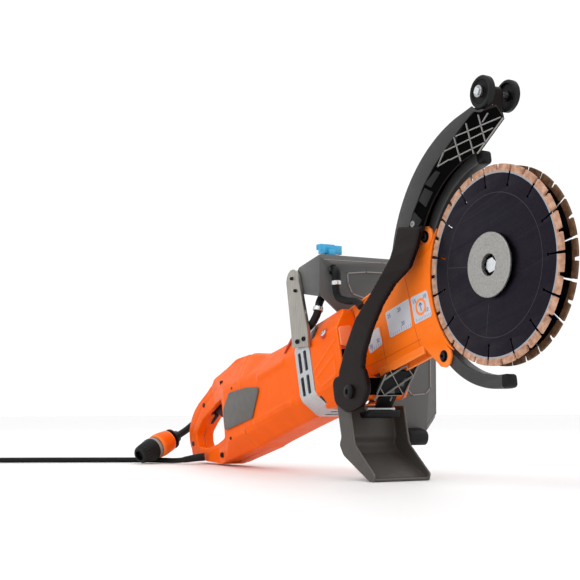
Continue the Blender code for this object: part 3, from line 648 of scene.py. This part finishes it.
def blades():
    # The far blade's segments take the darker, painted-shade copy of the grit
    for node, sign, phase, look in (("blade_right", 1, SLOT_PHASE, "segment"),
                                    ("blade_left", -1, SLOT_PHASE + 9, "segment_shaded")):
        middle = sign * BLADE_SIDE
        face = sign * (BLADE_SIDE + CORE_HALF)
        plate(node + "_core", [core_outline(phase), circle(11.3)], middle - CORE_HALF, middle + CORE_HALF,
              "blade", "blades", edge=0.15, stands_for=[node])
        plate(node + "_segments", segment_outlines(phase), middle - SEGMENT_HALF, middle + SEGMENT_HALF,
              look, "blades", edge=0.2)
        low, high = sorted((face, face + sign * 0.12))
        plate(node + "_ring", rim_arcs(105.0, CORE_R - 0.2, phase), low, high, "blade_ring", "blades")
        plate(node + "_line", [circle(83.2, 96), circle(82.7, 96)], low, high, "blade_mark", "blades")
        sector_lines = [[polar(83, 162), (-44, 14)], [(-18, -40.5), polar(83, 247)]]
        bars(node + "_sector_lines", sector_lines, 0.45, low, high, "blade_mark", "blades")


def blade_fasteners():
    """Dished flanges with a hex head set into the middle of each, and a black ring round the head as painted
    shadow.
    """
    face = BLADE_SIDE + CORE_HALF + 0.3
    profile = [(6.3, 0), (31, 0), (31, 3.2), (36.9, 3.2), (37.6, 3.8), (37.6, 5.6), (37, 6.2), (13.4, 6.2),
               (12.8, 5.6), (12.8, 0.4), (6.3, 0.4), (6.3, 0)]
    fasteners = (("flange_right", "blade_bolt", -1, "bright"), ("flange_left", "blade_nut", 1, "zinc"))
    for flange, fastener, sign, look in fasteners:
        lathe(flange + "_skin", profile, "flange", "blades", BLADE + SIDE * sign * face * MM, SIDE * sign, 64,
              [flange])
        # Near-black ring on the floor of the counterbore: painted shadow round the bolt head
        lathe(flange + "_shadow_ring", ring_profile(12.8, 6.4, 0.4, 0.7, 0.1), "deep", "blades",
              BLADE + SIDE * sign * face * MM, SIDE * sign)
        low, high = sorted((-sign * (face + 0.4), -sign * (face + 2.6)))
        plate(fastener + "_skin", [circle(9.4, 6)], low, high, look, "blades", edge=0.7,
              stands_for=[fastener])


# ---------------------------------------------------------------- fixed hood
HOOD_R = (125.0, 141.0)
HOOD_HALF = 8.3
HORN_R = 135.0
HORN_ANGLES = (144.5, 213.5)
PLATE_FACE = 12.4  # outer face of each arm plate, from the centre plane


def band(inner, outer, start, end):
    return arc(inner, start, end, 20) + arc(outer, end, start, 20)


def hood():
    low, high = HOOD_R
    for node, (start, end), cap in (("blade_hood_upper", (88.5, 158), (85, 90)),
                                    ("blade_hood_lower", (206, 260.5), (259, 264))):
        plate(node + "_skin", [band(low, high, start, end)], -HOOD_HALF, HOOD_HALF, "dark_grey", "machine",
              edge=2.2, stands_for=[node])
        corners = [polar(low, cap[0]), polar(low, cap[1]), polar(high, cap[1]), polar(high, cap[0])]
        plate(node + "_cap", [rounded([(*corner, 4.5) for corner in corners])], -HOOD_HALF, HOOD_HALF,
              "rubber", "machine", edge=3)
    for angle in HORN_ANGLES:
        x, y = polar(HORN_R, angle)
        for sign in (-1, 1):
            place = at(x, sign * PLATE_FACE, y)
            profile = [(0, 1.2), (1.6, 1.2), (2.2, 3), (4.2, 3), (5, 2.2), (5, 0), (7, 0.5), (7.4, 0),
                       (7.4, -0.5)]
            lathe("horn_bolt", profile, "black", "machine", place, SIDE * sign, 28)


# ---------------------------------------------------------------- arm
def arm():
    for node in ("belt_guard_right", "belt_guard_left"):
        bevelled(node, "orange_plate", "machine", 1.0)
    face = PLATE_FACE
    for tag, low, high in (("near", 9, 13.4), ("far", -13.4, -9)):
        lip = [(-248, -61.3), (-149, -59.2), (-149, -50.2), (-232, -51.6), (-248, -52)]
        plate("plate_lip_" + tag, [lip], low, high, "orange_plate", "machine", edge=0.8)
    bars("plate_top_lip", [[(-326, 44.2), (-240, 50.4), (-156, 51.2)]], 2.2, face - 1, face + 1.2,
         "orange_plate", "machine")
    # Groove paths drawn as dark lines: painted shade
    grooves = [[(-163.5, 44), (-161, 17)], [(-160.5, -21), (-155, -49)], [(-231, 1), (-232, -27)],
               [(-232, -28), (-231, -53)], [(-285, -40), (-232, -41), (-152, -41)]]
    bars("plate_groove_shade", grooves, 0.8, face - 0.2, face + 0.12, "groove", "machine")
    decals(face)


def decals(face):
    """Silver depth-scale labels, with ticks and plain numbers."""
    shapes = {"scale_label_a": [(-217, 15.5, 3), (-162.5, 16.5, 3), (-165, -20, 3), (-214, -19.5, 3)],
              "scale_label_b": [(-159, 16, 3), (-124, 14, 3), (-122, -20, 3), (-158, -19.5, 3)],
              "scale_label_c": [(-266, -1, 3), (-236, 3, 3), (-233, -22, 3), (-264, -26, 3)]}
    for name, corners in shapes.items():
        plate(name, [rounded(corners)], face - 0.1, face + 0.3, "label", "machine")
    ticks = []
    for i in range(10):
        x = -211 + i * 4.9
        ticks.append([(x, -18.5), (x, -15.5 if i % 5 else -13)])
        x = -154 + i * 3.3
        ticks.append([(x, -18), (x, -15.5 if i % 5 else -13.5)])
    for i in range(5):
        x = -257 + i * 5
        ticks.append([(x, -24 + i * 0.5), (x, -20.5 + i * 0.5)])
    bars("scale_ticks", ticks, 0.5, face + 0.3, face + 0.42, "mark", "machine")
    for text, along, up in (("25", -213, 6), ("20", -190, 7), ("15", -156, 6), ("10", -134, 5.5),
                            ("20", -186, -12.5), ("10", -134, -12), ("30", -245, -17), ("30", -262, -20)):
        number(text, along, up, face + 0.42)
    plate("scale_ring", [circle(11, 40, (-141, -2)), circle(7.6, 40, (-141, -2))], face + 0.3, face + 0.45,
          "orange_plate", "machine")
    bars("scale_pointer", [[(-141, -7), (-141, 3)], [(-144, 0), (-141, 3), (-138, 0)]], 1.2, face + 0.3,
         face + 0.45, "mark", "machine")


def number(text, along, up, face, size=7.5):
    curve = bpy.data.curves.new("scale_number", "FONT")
    curve.body = text
    curve.size = size * MM
    curve.extrude = 0.06 * MM
    obj = baked(link("scale_number_" + text, curve, SIDE_VIEW @ Matrix.Translation(
        (along * MM, up * MM, face * MM))))
    return finish_piece(obj, "mark", "machine")


# ---------------------------------------------------------------- swing guard
GUARD_FACE = 20.5
WHEEL = (44.5, 195.2)
WHEEL_R = 19.0
PIVOT = (-262.0, -78.5)


def swing_guard():
    rounded_copy("swing_guard", "strap_grey", "guard", 1.3, 3)
    face = GUARD_FACE
    rim = (arc(186.8, 158, 92, 22) + arc(WHEEL_R + 2, 205, 262, 8, WHEEL) + [(45, 172), (38, 172.5)]
           + [(27, 178.5), (11, 175)] + [polar(167.4, 95), polar(163, 103), polar(161, 112), polar(160, 122),
                                         polar(160, 136), polar(162, 150)])
    floor = ([(11, 175), (27, 178), (38, 172), (52, 169.5), (64, 166), (71, 148), (21, 129.6)]
             + arc(133.6, 82, 142, 16) + [(-118, 103), (-140, 82)] + arc(161, 148, 96, 10))
    far_floor = arc(186.8, 156, 81, 14) + [(30, 175.5), (-22, 156)] + arc(151, 100, 150, 10)
    far_ribs = [[polar(152, angle), polar(160, angle + 3)] for angle in range(102, 148, 8)]
    guard_side("near", 1, face, rim, floor, GUARD_RIBS)
    guard_side("far", -1, face, arc(186.8, 156, 84, 20) + arc(178, 84, 152, 16), far_floor, far_ribs)
    channel_ribs()


GUARD_RIBS = [[(33.1, 171), (36.9, 134.7)], [(10.3, 171.5), (13.7, 132)], [(-14.6, 166), (-10.5, 134)],
              [(-11, 166), (67.8, 150.7)], [(-37, 158.5), (52.5, 144.8)], [(-29.2, 143.8), (36, 135.1)],
              [(38.4, 160), (49, 165)], [(71.3, 147.6), (20.6, 129)],
              [(-35, 160), (-53, 146.4), (-31, 144.8)]]
# Each rib: its ends on the web as (side, angle), then its ends on the far cheek as (along, up)
CHANNEL_RIBS = [((-6.3, 85), (12.8, 91.1), (-6.6, 172.9), (-5.2, 160)),
                ((-6, 92.4), (11.2, 98.1), (-30.7, 171.2), (-29.5, 157.2)),
                ((-3.8, 101.2), (8.9, 105.4), (-56.2, 169.6), (-54.8, 157.4)),
                ((-2.2, 100.4), (8.8, 95.6), (27.1, 176.8), (28, 175)),
                ((-1.7, 109.3), (12.4, 104.3), (-19.3, 175.3), (11.1, 170.6)),
                ((-1, 117), (14.6, 113.1), (-51.2, 166.5), (-6.2, 160.4)),
                ((-16, 73), (11.2, 89.3), (33.1, 172.3), (-21, 152.4))]


def channel_ribs():
    """Thin ribs across the underside of the guard's web and down its far cheek."""
    for i, (first, second, upper, lower) in enumerate(CHANNEL_RIBS):
        web = []
        for k in range(5):
            side = first[0] + (second[0] - first[0]) * k / 4
            x, y = polar(182.6, first[1] + (second[1] - first[1]) * k / 4)
            web.append(at(x, side, y))
        pipe("channel_rib_%d" % (i + 1), web, 0.55, "rib_grey", "guard")
        cheek = [at(upper[0], 16.7, upper[1]), at(lower[0], 16.7, lower[1])]
        pipe("cheek_rib_%d" % (i + 1), cheek, 0.55, "rib_grey", "guard")


def guard_side(tag, sign, face, rim, floor, ribs):
    """The ribbed panel of one cheek, framed by its smooth rim, with a near-black sheet between the ribs as
    painted shade.
    """
    def depths(low, high):
        return sorted((sign * low, sign * high))
    plate("guard_rim_" + tag, [rim], *depths(face - 0.5, face + 2), "dark_grey", "guard", edge=0.5)
    # Near-black sheet under the ribs: painted shade in the lattice's pockets
    plate("guard_pocket_shade_" + tag, [floor], *depths(face - 0.4, face + 0.2), "deep", "guard")
    bars("guard_ribs_" + tag, ribs, 1.2, *depths(face + 0.1, face + 1.6), "rib_grey", "guard")
    blocks = [[(-83, 136.8), (-58, 143), (-50, 137), (-72, 127)], [(-100, 122), (-84, 132), (-70, 120),
              (-88, 108)], [(-128, 100), (-112, 112), (-100, 96), (-116, 86)]]
    for i, block in enumerate(blocks):
        plate("guard_block_%d_%s" % (i + 1, tag), [block], *depths(face + 0.1, face + 1.3), "black",
              "guard", edge=0.3)
    lathe("guard_screw_" + tag, [(0, 0.4), (1.2, 0.4), (1.6, 1.6), (3.4, 1.6), (4, 1), (4, 0)], "rib_grey",
          "guard", at(-118, -sign * (face + 1.2), 98), SIDE * -sign, 20)


def wheels():
    outer = [(3.6, 6.2), (13.6, 6.2), (14.6, 7.4), (17.6, 7.8), (19, 6.4), (19, 1.4), (17.6, 0), (15.2, 0),
             (14.4, 2.8), (6.2, 2.8), (5.6, 0.4), (3.6, 0.4), (3.6, 6.2)]
    for node, body, sign, wide in (("guard_wheel_right", "wheel_near", -1, 1),
                                   ("guard_wheel_left", "wheel_far", 1, 0)):
        place = at(WHEEL[0], sign * 14.5, WHEEL[1])
        profile = [(radius, depth + (wide if depth > 4 else 0)) for radius, depth in outer]
        lathe(node + "_skin", profile, "black", body, place, SIDE * sign, 56, [node])
        lathe(node + "_washer", ring_profile(7.4, 4, 0, 0.5, 0.2), "black", body,
              at(WHEEL[0], sign * (20.9 + wide), WHEEL[1]), SIDE * sign, 32)
    square = [(WHEEL[0] + x, WHEEL[1] + y) for x, y in ((0, 5.2), (5.2, 0), (0, -5.2), (-5.2, 0))]
    for sign in (-1, 1):
        end = 26.2 if sign > 0 else 25.2
        low, high = sorted((sign * end, sign * (end + 2.4)))
        plate("axle_head", [square], low, high, "bright", "guard", edge=0.7)


def pivot():
    lathe("pivot_cap", [(0, 0.6), (3, 0.6), (3.6, 2.4), (7.2, 2.4), (8.6, 1.6), (9.6, 0)], "black", "guard",
          at(PIVOT[0], -56.8, PIVOT[1]), -SIDE, 32)


# ---------------------------------------------------------------- housings
def path_distance(a, p, path):
    """Distance from points in the along-up plane to a path."""
    best = np.full(len(a), 1e9)
    for (x0, y0), (x1, y1) in zip(path, path[1:]):
        dx, dy = x1 - x0, y1 - y0
        t = np.clip(((a - x0) * dx + (p - y0) * dy) / (dx * dx + dy * dy), 0, 1)
        best = np.minimum(best, np.hypot(a - x0 - t * dx, p - y0 - t * dy))
    return best


def ridge(a, p, path, width, height):
    """A rounded ridge, or a groove for a height below nothing."""
    share = np.clip(1 - path_distance(a, p, path) / width, 0, 1)
    return height * share * share * (3 - 2 * share)


def sides_only(normals):
    return np.clip(np.abs(normals[:, 1]) * 1.6 - 0.3, 0, 1)


def housing_relief(points, normals):
    a, p = points[:, 0], points[:, 2]
    raised = ridge(a, p, [(-540, -50), (-424, -50)], 7, 1.6)
    inner = ridge(a, p, [(-534, -50), (-430, -50)], 3, -1.0)
    panel = ridge(a, p, [(-512, 12), (-436, 12)], 9, 2.2)
    return (raised + inner + panel) * sides_only(normals)


def gear_relief(points, normals):
    a, p = points[:, 0], points[:, 2]
    triangle = [(-352, -36), (-300, -18), (-300, -44), (-340, -50), (-352, -36)]
    line = [(-356, -26), (-292, 2)]
    return (ridge(a, p, triangle, 3.4, 1.1) + ridge(a, p, line, 3, 1.2)) * sides_only(normals)


def handle_relief(points, normals):
    a, p = points[:, 0], points[:, 2]
    crease = [(-834, -30), (-822, 2), (-770, 32), (-700, 44), (-640, 28), (-584, 22)]
    rim = [(-806, -34), (-764, -47), (-664, -50)]
    return (ridge(a, p, crease, 5, -0.9) + ridge(a, p, rim, 3.5, 0.9)) * sides_only(normals)


def housings():
    rounded_copy("motor_housing", "orange", "machine", 1.6, 4, housing_relief)
    for side in ("right", "left"):
        rounded_copy("handle_shell_" + side, "orange", "machine", 1.5, 4, handle_relief)
        rounded_copy("gear_housing_" + side, "orange", "machine", 1.5, 3, gear_relief)
    for node in ("cover_right", "cover_left"):
        bevelled(node, "cover_grey", "machine", 0.9)
    screws = ((-654, 42.5, 36), (-762, 34, 17.5), (-821, -18.7, 16.4), (-696, -66, 28))
    for along, up, side in screws:
        for sign in (-1, 1):
            screw("shell_screw", along, up, sign * side, 4.4)
    for sign in (-1, 1):
        screw("shell_pin", -602, 19.5, sign * 45.4, 2.2)
        screw("shell_pin", -624, -55, sign * 45.6, 2.6)


def screw(name, along, up, side, radius, look="black"):
    """A recessed screw: a dark countersunk ring round a socket."""
    sign = 1 if side > 0 else -1
    profile = [(0, -0.6), (radius * 0.4, -0.6), (radius * 0.46, 0.5), (radius * 0.9, 0.6), (radius, 0),
               (radius, -2)]
    return lathe(name, profile, look, "machine", at(along, side, up), SIDE * sign, 24)


def gear_details():
    """Raised patch in a lighter orange as painted highlight, with painted shade below it, in the gap and over
    the housing's front bottom; bright screw, and small lever behind the strap.
    """
    view = basis(SIDE, UP, ALONG, at(-284.4, 0, 0))
    patch = rounded([(-43.5, -8, 2), (-43.5, 17, 4), (-24, 20, 4), (-21, 4, 2), (-36, -10, 2)])
    # The patch's lighter orange is a painted highlight
    plate("housing_patch", [patch], 0, 2.4, "painted_highlight_orange", "machine", view, edge=0.8)
    # Red band below the patch: painted shade
    painted_shade_corners = [(-42, -14), (-42, -6), (-24, 3), (-24, -10)]
    plate("housing_patch_painted_shade", [painted_shade_corners], 0, 1.2, "red", "machine", view)
    # Near-black sheet in the gap: painted shade
    plate("housing_gap_painted_shade", [[(-43, -34), (-43, -14), (-30, -11), (-30, -30)]], 0, 0.8, "deep", "machine", view)
    view = basis(SIDE, UP, ALONG, at(-249.8, 0, 0))
    # Near-black sheet over the orange housing's front bottom, under the lobe: painted shade
    plate("housing_front_painted_shade", [[(-44, -86), (-44, -63), (18, -63), (18, -86)]], 0, 1, "deep", "machine", view)
    place = at(-318, -45, 19)
    facing = -SIDE + UP * 0.6
    lathe("housing_screw_seat", [(4.5, 0.6), (6.6, 1.2), (7.4, 0.4), (7.4, -3)], "red", "machine", place,
          facing, 28)
    lathe("housing_screw", [(0, 1), (1.8, 1), (2.2, 2.6), (4.6, 2.6), (5.2, 1.6), (5.2, -2)], "bright",
          "machine", place, facing, 28)
    pipe("band_lever", [at(-434, -42, 25.5), at(-430, -36, 36), at(-426.5, -30, 45.5)], 2.0, "red", "machine",
         radii=(0.6, 1.0, 1.3))


def vent():
    bevelled("vent_band", "cast", "machine", 0.9)
    # Black sheets behind the band's slots: painted shade seen through them
    slot_shade_outline = [(-394, -52), (-394, 14), (-364, 14), (-364, -52)]
    for sign in (-1, 1):
        low, high = sorted((sign * 38, sign * 39.5))
        plate("vent_slot_shade", [slot_shade_outline], low, high, "black", "machine")


# ---------------------------------------------------------------- stand and shield
def scoop():
    rounded_copy("scoop", "warm_grey", "machine", 1.2, 4)


# The deflector's front face as (along, up), from the pin to the arm; its ribs as (up the slope, side)
SLOPE_AT = (-268.0, -97.5)
SLOPE_TO = (-219.0, -62.0)
SLOPE_RIBS = [[(13, -22), (54, -21.5)], [(90, 21.6), (14, 21.6)], [(60, -16.5), (24.6, 17.5)],
              [(45.6, -21.5), (70, 2.9), (54, 21.6)], [(21.5, -9.7), (53.9, 20.8)],
              [(33.9, -21.7), (21.5, -9.7)],
              [(20.7, -20.5), (21.7, 18.1)], [(18.8, 3.4), (12.4, 3.5)], [(20, -20.2), (12.3, -20.2)]]


def deflector():
    """Sloping panel with a lattice of thin ribs on its front face, carried on the scoop's pin."""
    slope = math.atan2(SLOPE_TO[1] - SLOPE_AT[1], SLOPE_TO[0] - SLOPE_AT[0])
    up_slope = ALONG * math.cos(slope) + UP * math.sin(slope)
    view = basis(up_slope, SIDE, up_slope.cross(SIDE), at(SLOPE_AT[0], 0, SLOPE_AT[1]))
    outline = [(-5, -12.6), (24, -12.6), (24, -22.4), (50, -22.4), (54, -12.8), (60, -12.6), (60, 12.8),
               (90, 13.4), (90, 22.4), (24, 22.4), (24, 12.6), (-5, 12.6)]
    plate("deflector_skin", [outline], 0, 4, "black", "machine", view, edge=0.6, stands_for=["deflector"])
    bars("deflector_ribs", SLOPE_RIBS, 0.9, -2.2, 0.2, "rib_grey", "machine", view)
    for i, (start, end) in enumerate(((24, 34), (36, 50))):
        plate("deflector_rib_step_%d" % (i + 1), [[(start, -8 + 14 * i), (start, 6 + 8 * i), (end, 12 * i)]],
              -0.8, 0.1, "dark_grey", "machine", view)
    block = rounded([(-284, -100, 2), (-282, -109, 2), (-262, -112, 2), (-256, -104, 2)])
    plate("deflector_block", [block], -18, 30, "black", "machine", edge=1.5)
    lathe("scoop_pin_skin", [(0, -26), (3.2, -26), (3.8, -25.4), (3.8, 17.4), (3.2, 18), (0, 18)], "zinc",
          "machine", at(-272.5, 0, -99), SIDE, 24, ["scoop_pin"])


SHIELD_FACE = -322.5


def shield():
    bevelled("front_shield", "shield_grey", "machine", 1.4)
    face = SHIELD_FACE
    top = [(-1, 280), (30, 283.5), (66, 284), (66, 262), (30, 246), (7, 252), (0, 266), (-1, 280)]
    side = [(100, 200), (140, 196), (140, 122), (132, 114), (108, 112), (100, 120), (100, 200)]
    border = [(-38, 297), (57, 298), (150, 299), (150, 86), (134, 66)]
    # Raised lines on the panel rims and border, their light grey a painted highlight
    bars("shield_panel_rim_highlights", [top, side], 1.6, face - 0.2, face + 1.1, "rib_grey", "machine", LEVEL_END)
    bars("shield_border_highlight", [border], 1.2, face - 0.2, face + 0.5, "rib_grey", "machine", LEVEL_END)
    bevelled("shield_foot", "rubber", "machine", 2.5)


# ---------------------------------------------------------------- handles, tap, hoses
def front_handle():
    route = [(-384, -42.8, 268), (-383, 10, 268), (-377, 100, 268), (-370, 132, 262), (-365, 147, 236),
             (-364, 148, 120), (-364, 144, 96), (-364, 128, 82), (-364, 90, 79), (-364, 46.6, 79)]
    pipe("front_handle_skin", [level(*p) for p in smooth_path(route, 8)], 13, "rubber", "machine",
         ["front_handle"])
    bevelled("handle_bracket", "steel", "machine", 0.7)
    for x, z, r in ((-372, 186, 3.4), (-354.5, 189, 3.4), (-388, 276, 2.4), (-378, 258, 2.4)):
        profile = [(0, 1), (r * 0.5, 1), (r * 0.6, 2.4), (r - 0.5, 2.4), (r, 1.6), (r, 0)]
        lathe("bracket_bolt", profile, "black", "machine", level(x, -52, z), -SIDE, 24)


TAP = (-345.0, -16.0)


def tap():
    bevelled("tap_body", "black", "machine", 1.2)
    bevelled("tap_lever", "blue", "tap_lever", 1.2)
    view = basis(Vector((1, 0, 0)), SIDE, Vector((0, 0, 1)), level(*TAP, 0))
    ribs = [[(-6 + 2.6 * i, -17), (-6 + 2.6 * i, 5)] for i in range(5)]
    bars("tap_lever_ribs", ribs, 1.1, 313.5, 321.2, "blue", "tap_lever", view)
    routes = {"hose_elbow": ([(-332.6, -21, 283), (-320, -24, 283), (-313, -26, 281), (-310, -27, 276),
                              (-310, -27, 268)], 6.2, "black"),
              "hose_to_arm": ([(-310, -27, 267), (-310.1, -27.4, 256), (-307, -25, 244), (-290, -22, 238),
                               (-272, -19, 236), (-262, -18, 228)], 5, "rubber"),
              "hose_to_tap": ([(-346, -22, 261.4), (-346, -24, 254), (-342, -34, 240), (-340.5, -38, 226),
                               (-346, -41, 214), (-355.5, -41, 208), (-364.5, -40.5, 205)], 5.5, "rubber")}
    for node, (route, radius, look) in routes.items():
        pipe(node + "_skin", [level(*p) for p in smooth_path(route, 6)], radius, look, "machine", [node])
    for name, place, axis, radius in (("hose_clip_upper", (-310, -27, 264), (0, 0, 1), 6.4),
                                      ("hose_clip_lower", (-341, -37, 230), (0.1, -0.3, -1), 6.6)):
        lathe(name, ring_profile(radius + 0.8, radius - 1.6, -3, 3, 0.6), "bright", "machine", level(*place),
              axis, 32)


def switchgear():
    for node, body in (("trigger", "trigger"), ("trigger_lockout", "lockout")):
        bevelled(node, "black", body, 0.8)


# ---------------------------------------------------------------- cable and hose ends
COUPLING_AT = (-820.4, -33.1, 44.9)
COUPLING_HEADING = Vector((0.306, -0.889, -0.340)).normalized()


def coupling():
    place = level(*COUPLING_AT)
    core = [(0, 0), (9.6, 0), (10, 0.6), (10, 12), (17, 12), (17.5, 12.6), (17.5, 15.6), (17, 16), (13, 16.5),
            (13, 51), (17.5, 51.6), (17.5, 59), (16.4, 59.4), (16.4, 60.6), (19, 61), (19, 66), (14.4, 89),
            (12, 91.6), (8.6, 92), (7.6, 86), (0, 86)]
    body = lathe("water_coupling_skin", core, "black", "machine", place, COUPLING_HEADING, 48,
                 ["water_coupling"])
    sleeve = [(13.5, 21), (17.6, 21), (18.4, 22), (18.8, 26), (20.3, 38), (20.5, 45), (20, 50), (19.4, 50.5),
              (13.5, 50.5), (13.5, 21)]
    lathe("coupling_sleeve_skin", sleeve, "orange", "sleeve", place, COUPLING_HEADING, 64,
          ["coupling_sleeve"])
    lathe("coupling_grey_ring", ring_profile(17.7, 12, 51.8, 58.8, 0.8), "rib_grey", "machine", place,
          COUPLING_HEADING, 48)
    across = COUPLING_HEADING.orthogonal().normalized()
    turned = COUPLING_HEADING.cross(across)
    for i in range(18):
        angle = math.radians(20 * i)
        spoke = across * math.cos(angle) + turned * math.sin(angle)
        start = place + COUPLING_HEADING * 62 * MM + spoke * 18.4 * MM
        end = place + COUPLING_HEADING * 86 * MM + spoke * 14.6 * MM
        pipe("coupling_knurl", [start, end], 0.9, "black", "machine")
    return body


def boot():
    points = [level(-731, -22.8, 12), level(-738, -36, 10.5), level(-757, -49, 6.8)]
    taper = [1.0, 1.0, 1.0, 1.0, 0.98, 0.97, 0.95, 0.93, 0.91, 0.88, 0.85, 0.82, 0.78]
    return pipe("cable_boot_skin", smooth_path(points, 6), 6.5, "rubber", "machine", ["cable_boot"], taper)


# ---------------------------------------------------------------- plain carry-overs
NODE_LOOKS = {
    "black": "switch_block guard_pivot_bolt mains_plug cooling_fan brush_left brush_right",
    "rubber": "hose_gland drive_belt",
    "cast": "arm_frame",
    "steel": "blade_hub blade_pulley drive_pulley crown_gear bevel_pinion stator motor_bearing guard_spring",
    "zinc": "wheel_axle",
    "copper": "rotor",
}


def dress_nodes():
    for look, names in NODE_LOOKS.items():
        for name in names.split():
            mesh = frame["nodes"][name].data
            mesh.materials.clear()
            mesh.materials.append(LOOKS[look])


def main():
    stage()
    camera()
    dress_nodes()
    blades()
    blade_fasteners()
    hood()
    arm()
    swing_guard()
    wheels()
    pivot()
    housings()
    gear_details()
    vent()
    scoop()
    deflector()
    shield()
    front_handle()
    tap()
    switchgear()
    cords()


main()
